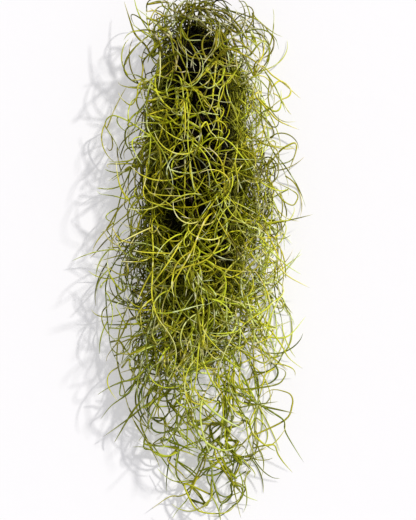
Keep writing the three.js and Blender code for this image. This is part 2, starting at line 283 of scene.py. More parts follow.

# Strands that stand out of the bunch, each from the nearest stem through places that were read
# off the picture. A place is a pixel across and down, and a guessed height in millimetres
STRAY_RADIUS = (0.56, 0.8)
STRAY_TONES = dict(
    top=(0.1, 0.65), crown=(0.25, 0.85), left=(0.1, 0.65), right=(0.45, 1), flank=(0.15, 0.75),
    tail=(0.25, 0.85), rope=(0.1, 0.8), knot=(0.1, 0.75), bundle=(0.0, 0.65),
    shoulder=(0.4, 0.95), end=(0.1, 0.75), hem=(0.1, 0.8), cap=(0.1, 0.7),
)
STRAYS = dict(
    crown=[
        [(193, 15, 48), (184, 20, 52), (181, 26, 54), (183, 34, 54), (188, 40, 52), (202, 40, 50)],
        [(216, 30, 50), (217, 37, 54), (216, 46, 56), (213, 52, 56), (211, 57, 54)],
        [(208, 60, 56), (204, 54, 58), (202, 46, 58), (204, 38, 56), (211, 31, 52)],
        [(181, 44, 52), (184, 51, 55), (191, 57, 57), (208, 60, 58), (225, 66, 57), (239, 65, 52)],
        [(191, 44, 50), (196, 54, 54), (200, 63, 56), (199, 73, 57), (194, 80, 56), (190, 83, 54)],
        [(170, 62, 46), (175, 64, 50), (180, 69, 53), (183, 77, 55), (186, 89, 55)],
        [(195, 18, 44), (199, 23, 48), (207, 28, 51), (216, 31, 51), (226, 29, 46)],
        [(206, 70, 58), (210, 73, 60), (213, 80, 61), (217, 86, 61), (221, 90, 60)],
        [(224, 67, 54), (223, 75, 58), (220, 81, 60), (210, 88, 61), (204, 86, 60), (199, 82, 58)],
        [(163, 77, 44), (171, 79, 49), (179, 82, 53), (184, 86, 55)],
        [(227, 49, 48), (222, 55, 53), (214, 59, 57), (208, 65, 59), (204, 70, 59), (196, 81, 58)],
        [(182, 37, 44), (178, 29, 44), (175, 18, 42), (174, 9, 40), (174, 1, 38)],
        [(165, 24, 40), (165, 15, 42), (168, 9, 42), (171, 1, 40)],
        [(177, 20, 38), (171, 16, 41), (164, 16, 42), (156, 12, 42), (150, 8, 40)],
        [(177, 18, 36), (178, 12, 38), (181, 6, 38), (186, 0, 36)],
        [(205, 1, 36), (206, 9, 40), (208, 15, 43), (214, 21, 45), (221, 25, 45), (226, 31, 44)],
        [(227, 25, 38), (229, 21, 40), (223, 15, 42), (216, 12, 42), (208, 6, 38)],
        [(219, 27, 42), (224, 26, 44), (231, 21, 45), (235, 17, 44), (237, 10, 42)],
        [(256, 46, 40), (255, 39, 42), (251, 31, 43), (246, 23, 42), (239, 14, 38)],
        [(231, 22, 40), (239, 31, 44), (246, 37, 46), (252, 41, 46), (257, 46, 44), (262, 52, 40)],
        [(246, 58, 40), (251, 54, 44), (257, 46, 46), (263, 41, 44), (269, 40, 40)],
    ],
    shoulder=[
        [(144, 60, 30), (143, 69, 33), (142, 78, 35), (144, 85, 35), (142, 96, 33)],
        [(186, 89, 55), (188, 99, 57), (190, 106, 58), (189, 115, 58), (187, 120, 57), (184, 127, 56)],
        [(144, 79, 34), (149, 82, 38), (155, 86, 42), (157, 93, 45), (167, 106, 51), (187, 119, 56)],
        [(208, 70, 58), (199, 78, 58), (192, 83, 57), (186, 85, 55), (180, 84, 52)],
        [(161, 93, 44), (170, 90, 49), (178, 88, 53), (184, 89, 55)],
        [(164, 97, 45), (172, 94, 49), (180, 92, 53), (185, 90, 55)],
        [(177, 115, 50), (178, 118, 52), (172, 121, 51), (164, 123, 48), (153, 123, 42), (133, 122, 34)],
        [(187, 120, 56), (196, 115, 59), (202, 112, 60), (207, 113, 60), (220, 115, 58)],
        [(187, 121, 56), (184, 128, 56), (180, 134, 55), (176, 140, 53), (171, 145, 50), (170, 149, 48)],
        [(166, 110, 48), (164, 120, 48), (162, 129, 47), (160, 137, 46), (157, 143, 44), (153, 150, 40)],
        [(167, 120, 49), (172, 129, 52), (175, 136, 53)],
        [(164, 123, 47), (167, 135, 49), (170, 145, 50), (171, 158, 50)],
        [(198, 91, 56), (203, 99, 59), (207, 104, 60), (210, 108, 60), (208, 113, 58)],
        [(213, 92, 56), (213, 100, 59), (211, 107, 60), (210, 110, 59)],
        [(206, 122, 58), (210, 131, 61), (215, 136, 61), (218, 141, 60)],
        [(151, 108, 38), (155, 114, 42), (159, 120, 45), (163, 131, 46)],
        [(156, 91, 42), (155, 83, 42), (156, 75, 42), (160, 69, 43), (166, 66, 44)],
        [(152, 101, 38), (156, 98, 42), (162, 96, 45)],
        [(144, 137, 34), (152, 133, 39), (157, 131, 43), (162, 131, 45)],
    ],
    top=[
        [(152, 56, 34), (146, 46, 38), (140, 40, 40), (134, 32, 40), (129, 17, 38), (124, 1, 34)],
        [(176, 34, 44), (166, 31, 48), (157, 25, 50), (148, 17, 48), (136, 8, 44)],
        [(162, 52, 42), (157, 38, 48), (152, 31, 48), (142, 30, 44), (129, 32, 38)],
        [(259, 61, 34), (267, 51, 38), (272, 38, 40), (274, 19, 40), (273, 8, 38)],
        [(256, 62, 38), (270, 54, 42), (274, 41, 46), (268, 31, 48), (262, 24, 48), (252, 23, 44)],
    ],
    left=[
        [(156, 87, 36), (144, 79, 40), (136, 75, 42), (127, 74, 40)],
        [(150, 87, 32), (141, 88, 34), (128, 86, 32)],
        [(142, 80, 36), (138, 86, 40), (137, 96, 42), (131, 105, 42), (122, 99, 40), (118, 92, 38)],
        [(140, 110, 38), (132, 117, 42), (128, 124, 44), (130, 126, 44), (139, 124, 42), (146, 128, 38)],
        [(130, 126, 36), (126, 130, 38), (125, 138, 38), (127, 146, 36), (133, 151, 34), (139, 146, 32)],
        [(137, 158, 34), (128, 161, 38), (116, 162, 38), (108, 161, 36)],
        [(132, 164, 30), (117, 164, 30), (109, 164, 28), (107, 166, 28), (110, 168, 28)],
        [(129, 167, 38), (120, 175, 36), (112, 181, 34)],
        [(129, 199, 36), (126, 197, 38), (120, 186, 40), (117, 172, 40), (116, 161, 38)],
        [(134, 196, 34), (127, 199, 34), (114, 196, 32), (101, 194, 28), (97, 191, 26)],
        [(129, 199, 36), (118, 210, 38), (110, 224, 38), (107, 229, 38), (110, 235, 36), (125, 255, 30)],
        [(150, 194, 46), (134, 204, 44), (127, 214, 42), (120, 220, 40), (109, 229, 34), (100, 233, 30)],
        [(132, 243, 30), (121, 240, 32), (115, 233, 34), (112, 225, 34)],
        [(128, 273, 36), (119, 274, 36), (113, 271, 34), (108, 268, 32), (94, 264, 26)],
        [(123, 290, 30), (118, 287, 32), (111, 277, 34), (108, 268, 34), (107, 258, 32)],
        [(124, 304, 26), (118, 294, 30), (115, 283, 30), (110, 277, 28), (96, 270, 22)],
        [(126, 288, 36), (118, 295, 34), (111, 302, 32), (105, 311, 28)],
        [(126, 328, 26), (122, 318, 30), (117, 309, 32), (116, 305, 32), (124, 299, 30)],
        [(132, 318, 28), (126, 325, 28), (122, 334, 28), (116, 344, 26), (108, 355, 22), (106, 362, 20)],
        [(162, 339, 44), (155, 346, 44), (140, 350, 40), (130, 356, 36), (121, 365, 30)],
    ],
    flank=[
        [(150, 319, 32), (142, 323, 32), (134, 324, 30), (126, 324, 27), (112, 329, 22)],
        [(146, 330, 30), (136, 336, 30), (129, 336, 28), (121, 338, 25), (112, 339, 22)],
        [(119, 341, 22), (125, 349, 26), (130, 355, 28), (134, 360, 28), (144, 369, 28)],
        [(156, 339, 32), (144, 346, 32), (139, 349, 30), (129, 355, 26), (121, 364, 20)],
        [(129, 359, 20), (130, 367, 23), (135, 376, 26), (144, 386, 28), (152, 391, 28), (167, 394, 24)],
        [(146, 360, 30), (138, 367, 29), (129, 370, 25), (119, 373, 20)],
        [(173, 347, 40), (170, 354, 40), (162, 362, 38), (150, 369, 34), (133, 378, 27), (110, 387, 16)],
        [(138, 381, 26), (133, 386, 25), (129, 393, 22), (120, 400, 16)],
        [(128, 350, 28), (131, 337, 31), (131, 330, 32), (130, 321, 32), (128, 310, 30)],
        [(160, 310, 46), (159, 323, 46), (154, 329, 44), (152, 334, 43), (157, 344, 44), (162, 339, 46)],
        [(165, 310, 48), (162, 322, 48), (167, 333, 49), (174, 344, 50), (168, 356, 47), (162, 362, 44)],
        [(184, 343, 50), (189, 347, 50), (192, 353, 50), (196, 360, 48), (199, 365, 46)],
        [(195, 321, 54), (193, 329, 54), (190, 335, 53), (186, 340, 52), (184, 346, 50)],
        [(164, 324, 48), (171, 329, 50), (178, 332, 51), (182, 333, 50)],
        [(156, 344, 42), (155, 350, 42), (159, 362, 42), (167, 373, 42), (178, 371, 44), (190, 363, 45)],
        [(158, 362, 38), (159, 374, 38), (160, 381, 37), (159, 390, 35), (155, 400, 30)],
        [(183, 346, 46), (185, 359, 46), (186, 365, 45), (185, 376, 43), (188, 386, 41), (193, 390, 38)],
        [(164, 380, 34), (172, 386, 36), (179, 386, 37), (187, 383, 38), (190, 384, 37)],
        [(170, 374, 36), (172, 382, 36), (174, 387, 35), (175, 393, 34), (173, 400, 30)],
    ],
    right=[
        [(262, 66, 34), (272, 75, 36), (282, 82, 34), (290, 89, 28), (301, 99, 20)],
        [(280, 81, 34), (290, 88, 38), (289, 96, 40), (279, 101, 40), (266, 112, 34)],
        [(260, 98, 30), (270, 109, 34), (277, 111, 36), (281, 105, 36), (281, 89, 32)],
        [(256, 96, 34), (268, 110, 36), (279, 121, 30), (300, 130, 20)],
        [(268, 165, 34), (278, 153, 38), (285, 147, 42), (295, 143, 44), (296, 151, 42), (288, 173, 34)],
        [(252, 138, 40), (264, 144, 44), (275, 148, 44), (279, 158, 40), (275, 177, 34)],
        [(266, 173, 30), (280, 197, 38), (291, 205, 40), (296, 202, 40), (296, 193, 38), (272, 180, 30)],
        [(266, 224, 34), (280, 221, 38), (289, 220, 40), (294, 212, 38), (294, 206, 34)],
        [(260, 260, 26), (273, 249, 30), (281, 241, 34), (286, 230, 34), (284, 222, 30), (274, 213, 26)],
        [(260, 240, 34), (273, 253, 36), (288, 266, 30), (302, 275, 22)],
        [(262, 250, 28), (275, 262, 30), (288, 276, 24), (310, 288, 14)],
        [(264, 337, 22), (276, 338, 24), (286, 337, 24), (294, 331, 20), (306, 316, 14)],
        [(258, 322, 30), (270, 330, 32), (282, 346, 30), (289, 358, 26), (303, 369, 18)],
        [(236, 348, 34), (246, 354, 36), (263, 363, 40), (270, 356, 40), (267, 345, 36)],
    ],
    tail=[
        [(230, 376, 24), (247, 396, 28), (272, 412, 30), (284, 421, 28), (286, 433, 26), (304, 463, 12)],
        [(257, 404, 24), (251, 419, 28), (251, 430, 30), (268, 446, 32), (284, 431, 30), (285, 420, 28)],
        [(285, 420, 26), (292, 406, 24), (292, 397, 22), (286, 392, 20), (271, 390, 18), (257, 400, 16)],
        [(262, 446, 30), (274, 445, 30), (278, 454, 26), (284, 463, 20), (293, 473, 12)],
        [(234, 458, 18), (246, 456, 22), (256, 452, 26), (268, 446, 30)],
        [(232, 384, 32), (244, 389, 34), (275, 385, 36), (284, 378, 34), (285, 371, 30), (276, 366, 26)],
        [(150, 356, 26), (143, 366, 28), (136, 378, 28), (128, 393, 24), (111, 406, 18), (100, 420, 10)],
        [(176, 384, 24), (168, 392, 26), (157, 399, 28), (143, 407, 26), (128, 419, 20), (103, 437, 10)],
        [(152, 362, 34), (136, 378, 34), (121, 382, 28), (108, 388, 22), (97, 395, 14)],
        [(186, 446, 12), (176, 453, 16), (166, 456, 18), (153, 451, 18), (143, 447, 14), (132, 447, 10)],
        [(166, 392, 16), (154, 409, 18), (146, 430, 14), (138, 442, 8)],
        [(150, 392, 30), (136, 407, 28), (128, 419, 24), (121, 431, 18), (114, 443, 10)],
        [(196, 478, 8), (187, 481, 12), (174, 481, 14), (164, 475, 10), (157, 468, 8)],
        [(204, 466, 16), (196, 480, 18), (190, 491, 16), (180, 496, 12), (169, 497, 10), (150, 510, 6)],
        [(196, 474, 8), (192, 485, 10), (188, 498, 10), (177, 511, 6), (172, 519, 4)],
        [(212, 479, 14), (216, 491, 18), (221, 502, 18), (230, 496, 16), (240, 491, 14), (232, 481, 10)],
        [(222, 466, 8), (230, 479, 12), (244, 495, 10), (258, 501, 6)],
        [(186, 484, 18), (188, 495, 20), (199, 511, 18), (224, 513, 14), (236, 504, 12), (243, 490, 10)],
        [(213, 444, 20), (225, 466, 22), (232, 480, 20), (235, 494, 16), (241, 519, 8)],
    ],
    end=[
        [(165, 446, 14), (176, 449, 16), (186, 452, 18), (197, 457, 18)],
        [(169, 440, 20), (178, 444, 20), (186, 448, 20), (196, 452, 20), (201, 454, 20)],
        [(217, 440, 24), (210, 445, 24), (204, 451, 23), (199, 455, 22), (198, 461, 20), (200, 467, 18)],
        [(200, 467, 18), (198, 472, 18), (191, 486, 16), (187, 491, 15), (189, 497, 14), (206, 515, 10)],
        [(213, 444, 22), (216, 457, 22), (220, 463, 22), (228, 476, 20), (236, 486, 16), (243, 494, 12)],
        [(220, 444, 20), (222, 450, 20), (227, 455, 20), (230, 461, 20), (233, 467, 19), (231, 482, 17)],
        [(226, 440, 18), (228, 446, 19), (233, 452, 20), (241, 458, 18), (248, 460, 16), (265, 455, 10)],
        [(241, 458, 20), (247, 464, 19), (252, 469, 17), (255, 474, 15), (254, 478, 13)],
        [(240, 459, 18), (240, 465, 18), (236, 472, 18), (233, 478, 17), (231, 482, 16)],
        [(198, 457, 20), (206, 458, 21), (216, 458, 22), (222, 457, 22), (231, 456, 20)],
        [(200, 471, 16), (208, 468, 18), (215, 465, 19), (222, 459, 20)],
        [(211, 462, 20), (215, 467, 20), (221, 469, 20), (224, 472, 19), (229, 478, 18)],
        [(203, 474, 14), (208, 475, 15), (214, 475, 16), (221, 472, 17), (226, 469, 18), (230, 465, 18)],
        [(207, 474, 16), (208, 481, 16), (211, 487, 15), (214, 494, 14), (215, 498, 13)],
        [(212, 470, 18), (212, 478, 17), (215, 486, 16), (219, 501, 13), (222, 505, 12), (219, 519, 8)],
        [(215, 492, 14), (220, 495, 15), (226, 497, 15), (231, 494, 15), (232, 488, 16), (231, 483, 16)],
        [(233, 482, 16), (238, 483, 15), (243, 486, 14), (245, 490, 13), (237, 501, 10), (224, 505, 8)],
        [(243, 494, 12), (240, 500, 11), (234, 505, 10), (222, 515, 9), (216, 516, 8), (209, 516, 7)],
        [(190, 499, 12), (196, 502, 12), (203, 503, 12), (211, 501, 12), (214, 498, 12)],
        [(206, 471, 14), (201, 476, 15), (194, 481, 16), (187, 483, 15), (180, 483, 13), (165, 477, 8)],
        [(176, 450, 14), (169, 457, 14), (169, 462, 14), (181, 473, 14), (187, 479, 14), (194, 478, 13)],
        [(178, 448, 12), (178, 456, 12), (176, 465, 12), (177, 476, 12), (182, 483, 12), (190, 496, 10)],
        [(192, 487, 10), (199, 495, 10), (203, 501, 9), (206, 509, 8)],
    ],
    rope=[
        [(222, 381, 34), (226, 389, 35), (226, 403, 34), (225, 414, 32), (222, 434, 28), (219, 443, 26)],
        [(214, 373, 38), (214, 384, 38), (218, 391, 37), (222, 401, 36), (223, 418, 33), (220, 440, 28)],
        [(229, 350, 34), (230, 357, 33), (229, 378, 30), (229, 395, 28), (232, 399, 26), (236, 412, 24)],
        [(226, 350, 40), (226, 358, 40), (222, 367, 39), (218, 373, 38), (214, 375, 36)],
        [(233, 350, 30), (234, 366, 30), (233, 377, 30), (237, 398, 28), (250, 405, 24), (270, 404, 18)],
        [(240, 350, 26), (240, 367, 26), (240, 385, 26), (253, 398, 24), (263, 410, 22), (270, 416, 18)],
        [(190, 417, 20), (197, 422, 22), (210, 424, 24), (222, 423, 26), (233, 422, 26), (249, 422, 22)],
        [(201, 422, 24), (211, 417, 25), (216, 413, 26), (221, 408, 26)],
        [(235, 411, 26), (242, 415, 26), (249, 420, 26), (252, 433, 24), (258, 440, 22), (270, 448, 18)],
        [(252, 433, 20), (245, 441, 20), (237, 450, 18), (232, 455, 16), (222, 460, 14)],
        [(187, 410, 26), (190, 423, 26), (197, 428, 25), (203, 432, 24), (209, 442, 20)],
        [(180, 431, 20), (189, 439, 20), (198, 447, 18), (203, 451, 16)],
        [(233, 386, 26), (236, 394, 26), (237, 403, 24), (241, 410, 22), (244, 413, 20)],
        [(226, 430, 24), (231, 438, 24), (236, 444, 22), (239, 446, 20)],
        [(244, 420, 22), (242, 423, 24), (235, 426, 25), (226, 429, 24), (226, 441, 22), (228, 459, 18)],
    ],
    knot=[
        [(228, 370, 34), (228, 376, 34), (228, 383, 34), (229, 391, 33), (228, 400, 32), (226, 416, 29)],
        [(234, 370, 31), (234, 377, 31), (234, 385, 31), (235, 391, 30), (237, 398, 28), (244, 413, 24)],
        [(230, 400, 30), (231, 406, 30), (235, 410, 29), (238, 413, 28), (244, 418, 26), (249, 420, 24)],
        [(232, 394, 28), (233, 399, 28), (233, 403, 27), (236, 408, 26), (240, 412, 24)],
        [(219, 401, 30), (219, 408, 30), (218, 411, 29), (211, 417, 27), (206, 420, 25), (190, 420, 20)],
        [(215, 380, 36), (218, 386, 36), (221, 391, 35), (223, 398, 34), (224, 408, 32), (223, 424, 28)],
        [(226, 427, 27), (226, 434, 26), (227, 443, 24), (228, 450, 22), (230, 459, 18)],
        [(227, 432, 26), (231, 438, 25), (235, 442, 24), (238, 445, 22), (244, 447, 20), (247, 452, 16)],
        [(215, 441, 24), (220, 445, 24), (224, 451, 22), (227, 456, 21), (231, 462, 19), (234, 470, 16)],
        [(190, 402, 26), (198, 402, 28), (203, 402, 29), (209, 399, 30), (215, 397, 31)],
        [(190, 409, 24), (196, 407, 26), (202, 404, 28), (206, 402, 29), (212, 398, 30)],
        [(198, 392, 30), (200, 400, 29), (202, 404, 28), (203, 411, 26), (203, 416, 24)],
        [(222, 424, 24), (215, 425, 24), (206, 424, 24), (198, 424, 22), (194, 421, 20), (190, 417, 18)],
        [(209, 425, 22), (210, 431, 23), (214, 440, 22), (218, 442, 21), (226, 447, 18)],
        [(222, 425, 26), (222, 432, 25), (219, 438, 24), (214, 441, 23), (209, 444, 21), (198, 456, 16)],
        [(266, 374, 22), (263, 383, 24), (261, 391, 25), (259, 399, 25), (257, 405, 24)],
        [(233, 455, 20), (231, 462, 20), (233, 467, 19), (231, 476, 17), (231, 481, 15)],
        [(240, 459, 19), (239, 467, 19), (236, 474, 18), (232, 479, 16)],
        [(215, 467, 17), (224, 471, 18), (229, 479, 17), (232, 484, 16), (231, 491, 14), (233, 496, 12)],
        [(224, 471, 18), (218, 474, 18), (211, 476, 17), (204, 474, 16), (200, 470, 14)],
        [(231, 484, 16), (232, 494, 14), (227, 501, 12), (221, 505, 11), (219, 512, 9), (219, 518, 8)],
        [(250, 471, 12), (246, 476, 14), (245, 483, 14), (243, 486, 14)],
        [(192, 487, 14), (199, 493, 13), (203, 499, 12), (206, 508, 9)],
    ],
    bundle=[
        [(228, 374, 33), (228, 385, 33), (229, 395, 32), (230, 403, 31), (229, 412, 29), (226, 424, 27)],
        [(232, 376, 31), (232, 386, 31), (231, 395, 30), (229, 405, 30), (229, 415, 28), (234, 424, 25)],
        [(230, 380, 30), (233, 390, 30), (234, 398, 29), (233, 406, 28), (235, 415, 27), (243, 420, 24)],
        [(218, 398, 29), (220, 407, 29), (216, 413, 28), (210, 417, 27), (203, 421, 25), (194, 423, 22)],
        [(224, 402, 31), (224, 414, 29), (226, 424, 27), (227, 436, 25), (226, 446, 23), (229, 458, 20)],
        [(228, 408, 29), (232, 414, 28), (233, 419, 27), (225, 423, 26), (212, 422, 25), (199, 420, 22)],
        [(243, 420, 22), (239, 425, 23), (231, 428, 25), (223, 433, 25), (214, 441, 23), (205, 450, 19)],
        [(195, 427, 20), (207, 434, 22), (214, 440, 23), (220, 446, 23), (225, 457, 21), (231, 466, 18)],
        [(218, 439, 24), (224, 446, 23), (230, 451, 22), (236, 456, 21), (245, 464, 18), (252, 471, 15)],
        [(237, 445, 22), (234, 453, 21), (234, 462, 20), (232, 473, 17)],
        [(231, 451, 21), (240, 456, 20), (247, 457, 19), (253, 455, 18), (259, 451, 16), (268, 448, 12)],
        [(212, 429, 25), (213, 438, 24), (212, 446, 22), (208, 454, 20), (198, 462, 16)],
        [(223, 436, 25), (217, 445, 23), (214, 452, 22), (213, 460, 20), (216, 468, 18)],
        [(229, 455, 21), (222, 458, 20), (215, 460, 20), (207, 461, 18), (197, 459, 15)],
        [(206, 423, 24), (204, 432, 23), (200, 439, 21), (193, 447, 17)],
        [(223, 423, 26), (217, 430, 25), (210, 436, 23), (203, 440, 21), (195, 444, 18)],
        [(221, 386, 34), (223, 395, 33), (226, 404, 32), (227, 414, 30), (224, 427, 27), (222, 438, 24)],
        [(226, 378, 35), (224, 388, 34), (227, 398, 33), (230, 408, 31), (227, 419, 28), (229, 431, 25)],
        [(219, 385, 35), (222, 393, 34), (225, 402, 32), (223, 412, 30), (224, 421, 28), (220, 431, 25)],
        [(226, 441, 24), (230, 447, 23), (235, 453, 21), (238, 460, 19), (236, 469, 17), (231, 480, 14)],
        [(238, 456, 20), (233, 461, 20), (226, 464, 19), (219, 469, 18), (211, 471, 16), (203, 469, 14)],
        [(222, 459, 20), (226, 466, 19), (231, 471, 18), (235, 479, 16), (234, 489, 13), (228, 499, 10)],
    ],
    hem=[
        [(182, 399, 30), (185, 405, 29), (187, 411, 28), (188, 418, 27), (189, 424, 25), (199, 436, 21)],
        [(187, 396, 30), (188, 404, 29), (191, 415, 27), (193, 423, 25), (203, 431, 22), (207, 439, 20)],
        [(180, 398, 28), (188, 401, 29), (197, 402, 29), (201, 405, 28)],
        [(201, 405, 28), (195, 409, 27), (192, 414, 26), (191, 420, 24)],
        [(184, 380, 31), (184, 390, 30), (181, 399, 28), (178, 414, 26), (178, 428, 23), (187, 447, 18)],
        [(207, 418, 26), (197, 421, 25), (184, 423, 23), (176, 428, 21), (167, 431, 18), (154, 436, 14)],
        [(145, 444, 12), (159, 446, 14), (174, 447, 16), (180, 450, 17), (190, 453, 17), (199, 457, 16)],
        [(164, 419, 20), (165, 427, 19), (164, 438, 17), (160, 443, 15), (149, 445, 12)],
        [(164, 437, 17), (170, 442, 18), (178, 445, 18), (188, 447, 18), (200, 447, 19), (208, 445, 20)],
        [(178, 428, 20), (174, 436, 19), (178, 444, 18), (178, 452, 16), (176, 463, 14), (177, 474, 12)],
        [(144, 448, 10), (151, 450, 11), (158, 455, 12), (166, 457, 12), (171, 454, 13), (178, 447, 15)],
        [(159, 380, 26), (157, 390, 25), (155, 399, 24), (151, 406, 22), (146, 414, 20)],
        [(155, 391, 25), (162, 394, 26), (172, 394, 27), (180, 398, 28)],
        [(154, 401, 22), (158, 406, 23), (169, 406, 25), (180, 403, 27)],
        [(152, 418, 18), (159, 421, 19), (164, 418, 20), (170, 412, 22), (182, 407, 25)],
        [(163, 384, 28), (160, 393, 26), (158, 404, 23), (155, 414, 20), (151, 422, 17)],
        [(173, 385, 29), (174, 394, 28), (171, 403, 26), (170, 413, 24), (175, 421, 22)],
        [(189, 412, 27), (188, 422, 25), (187, 436, 21), (188, 447, 18), (191, 455, 15)],
        [(185, 412, 26), (181, 422, 24), (175, 431, 21), (170, 437, 19), (162, 443, 16)],
        [(167, 380, 29), (167, 391, 28), (167, 402, 26), (169, 412, 24), (164, 420, 21)],
        [(211, 424, 25), (210, 437, 22), (207, 448, 19), (205, 459, 16)],
        [(211, 440, 22), (203, 450, 19), (199, 458, 17), (198, 471, 13)],
        [(176, 430, 21), (182, 436, 20), (189, 442, 19), (196, 448, 18), (203, 450, 17)],
        [(171, 405, 25), (176, 412, 25), (176, 421, 24), (170, 429, 22), (166, 437, 19)],
    ],
    cap=[
        [(204, 1, 38), (206, 11, 43), (210, 17, 46), (219, 22, 48), (228, 29, 48), (242, 36, 46)],
        [(210, 5, 38), (214, 12, 43), (222, 18, 46), (230, 22, 46), (238, 28, 44), (241, 35, 44)],
        [(212, 13, 43), (217, 21, 47), (221, 30, 50), (224, 38, 51), (228, 47, 51), (230, 56, 51)],
        [(193, 8, 41), (193, 16, 45), (199, 20, 49), (207, 27, 52), (213, 32, 53)],
        [(195, 1, 38), (193, 9, 42), (192, 17, 46), (190, 25, 50)],
        [(174, 3, 38), (176, 16, 43), (177, 27, 48), (177, 37, 51), (180, 47, 53), (188, 57, 56)],
        [(163, 16, 40), (159, 21, 41), (162, 27, 43), (169, 27, 45), (172, 21, 44), (169, 17, 42)],
        [(151, 19, 38), (158, 22, 41), (162, 30, 44), (171, 38, 48), (177, 45, 51), (178, 61, 52)],
        [(160, 1, 37), (163, 6, 39), (168, 10, 41), (172, 16, 43), (176, 22, 45)],
        [(191, 13, 44), (184, 18, 46), (180, 25, 48), (178, 34, 50), (181, 44, 53), (193, 55, 57)],
        [(227, 39, 50), (231, 45, 50), (238, 50, 48), (242, 57, 45), (245, 67, 43)],
        [(239, 32, 44), (242, 41, 45), (246, 49, 44), (249, 58, 42), (249, 68, 41)],
        [(152, 57, 38), (159, 52, 42), (167, 49, 46), (173, 44, 49), (178, 40, 50)],
        [(160, 62, 43), (168, 57, 47), (176, 54, 51), (184, 56, 54), (190, 60, 56), (197, 66, 58)],
        [(187, 1, 37), (180, 4, 39), (176, 9, 40), (175, 16, 42), (179, 22, 46)],
        [(166, 2, 38), (169, 8, 40), (176, 12, 42), (183, 14, 44), (191, 19, 48)],
        [(204, 22, 50), (212, 24, 50), (220, 23, 48), (228, 25, 46), (237, 30, 44)],
        [(198, 9, 42), (204, 16, 47), (212, 21, 50), (217, 29, 52), (219, 39, 54), (217, 48, 56)],
        [(231, 30, 47), (233, 40, 49), (236, 50, 48), (236, 60, 48), (238, 71, 47)],
        [(220, 30, 51), (222, 40, 53), (224, 50, 54), (226, 60, 55), (228, 71, 55)],
        [(168, 30, 46), (172, 40, 48), (173, 50, 49), (176, 60, 51), (176, 72, 52)],
        [(216, 10, 40), (224, 12, 42), (233, 19, 43), (241, 29, 43), (247, 41, 43), (251, 55, 41)],
        [(187, 3, 38), (186, 11, 42), (180, 16, 44), (174, 22, 44), (167, 31, 45), (164, 41, 45)],
        [(232, 24, 44), (226, 33, 49), (222, 43, 53), (214, 51, 57), (207, 59, 59), (201, 68, 59)],
    ],
)

# The stage
FLOOR_SIZE = 4.0  # metres
FLOOR_GRAIN = 60.0  # lumps a metre
FLOOR_GRAIN_SHARE = 0.04
FLOOR_GRAIN_COLOUR = (0.64, 0.64, 0.65)
FLOOR_ROUGHNESS = (0.85, 0.9)
FLOOR_RELIEF = 0.0001
KEY_FROM = (0.62, 0.56, 0.72)
KEY_COLOUR = (1, 0.985, 0.95)
FILL_COLOUR = (0.955, 0.955, 1)

# The living finish. Noise is in lumps a metre. A pair says from where to where a tint comes in:
# of a thread's shade, of the share of its length, or in metres along or across the bunch
FINE_DETAIL = 3.0
SCURF = 1400.0
SCURF_RELIEF = 0.00008
CLUMPS = 28.0
CLUMP_YOUTH = 0.5  # how much a thread's clump makes it young green, and its own shade below
OWN_YOUTH = 0.75
YOUTH = (0.35, 0.85)
YOUNG_SHARE = (0.1, 1.0)
PALE_SHADES = (0.9, 1.0)
PALE_SHARE = 0.25
TAIL_Y = (-0.16, 0.04)
TAIL_SHARE = 0.3
CROWN_Y = (0.11, 0.19)
CROWN_MIDDLE_X = 0.01
CROWN_FLANK = (0.016, 0.048)
CROWN_SHARE = (0.9, 0.15)
LEAF_BASE = (0.0, 0.16)
BROWN_SHADES = (0.55, 0.95)
BROWN_SHARE = 0.7
WITHERED_SHARE = 0.6
LEAF_END = (0.7, 1.0)
LEAF_END_SHARE = 0.55
# Painted highlights: pale patches in the tip colour on the outer threads, fewer in the tail
HIGHLIGHT_PATCHES = 110.0
HIGHLIGHT_EDGE = (0.54, 0.7)
HIGHLIGHT_OUTER = (0.6, 1.0)
HIGHLIGHT_Y = (-0.14, -0.04)
HIGHLIGHT_SHARE = (0.2, 0.6)
# Painted shade: a living thread's colour is darkened towards the heart, by how far out it lies
LIT_OUTER = (0.12, 0.84)
LIT = (0.07, 1.0)  # how bright a thread is at the heart, and how bright outside
DUST = (0.65, 1.35)
# Painted shade, a little darker low in the tail
LOW_Y = (-0.2, -0.08)
LOW_LIGHT = (0.88, 1.0)
HUE_STEP = 37.0  # threads that are nearly as bright still differ in hue
RED_HUE = (0.91, 1.08)
GREEN_HUE = (1.04, 0.96)
LIVING_ROUGHNESS = (0.35, 0.55)
LIVING_SHEEN = 0.08

# The dead finish, in the same measures
GRAIN = 900.0
GRAIN_STRETCH = (1, 0.15, 1)
GRAIN_RELIEF = 0.0002
WORN_SHADES = (0.55, 1.0)
WORN_GRAIN = (0.35, 0.6)
HEART_LOW_Y = (-0.04, 0.01)
HEART_MIDDLE_X = 0.006
HEART_SIDE = (0.019, 0.03)
HEART_SIDE_SHARE = 0.9
DEAD_ROUGHNESS = (0.6, 0.9)
DEAD_SHEEN = 0.06

# The source's generator of seeded numbers works in words of 32 bits
WORD = 0xFFFFFFFF
SEED_STEP = 0x6D2B79F5

LEAST = 1e-6  # the least that a share is divided by
PARALLEL = 1e-9  # stretches whose cross product is no greater run side by side


class Draws:
    """Seeded numbers from 0 to 1, the same ones that the source draws."""

    def __init__(self, seed):
        self.state = seed

    def __call__(self):
        """The next number. The shifts and the odd factors are the generator's own."""
        self.state = (self.state + SEED_STEP) & WORD
        t = self.state
        t = ((t ^ (t >> 15)) * (t | 1)) & WORD
        t ^= (t + (((t ^ (t >> 7)) * (t | 61)) & WORD)) & WORD
        return ((t ^ (t >> 14)) & WORD) / 2**32

    def between(self, low, high):
        return low + (high - low) * self()

    def any_way(self):
        """A direction drawn evenly over the sphere."""
        z = 2 * self() - 1
        turn = 2 * math.pi * self()
        flat = math.sqrt(1 - z * z)
        return Vector((flat * math.cos(turn), flat * math.sin(turn), z))


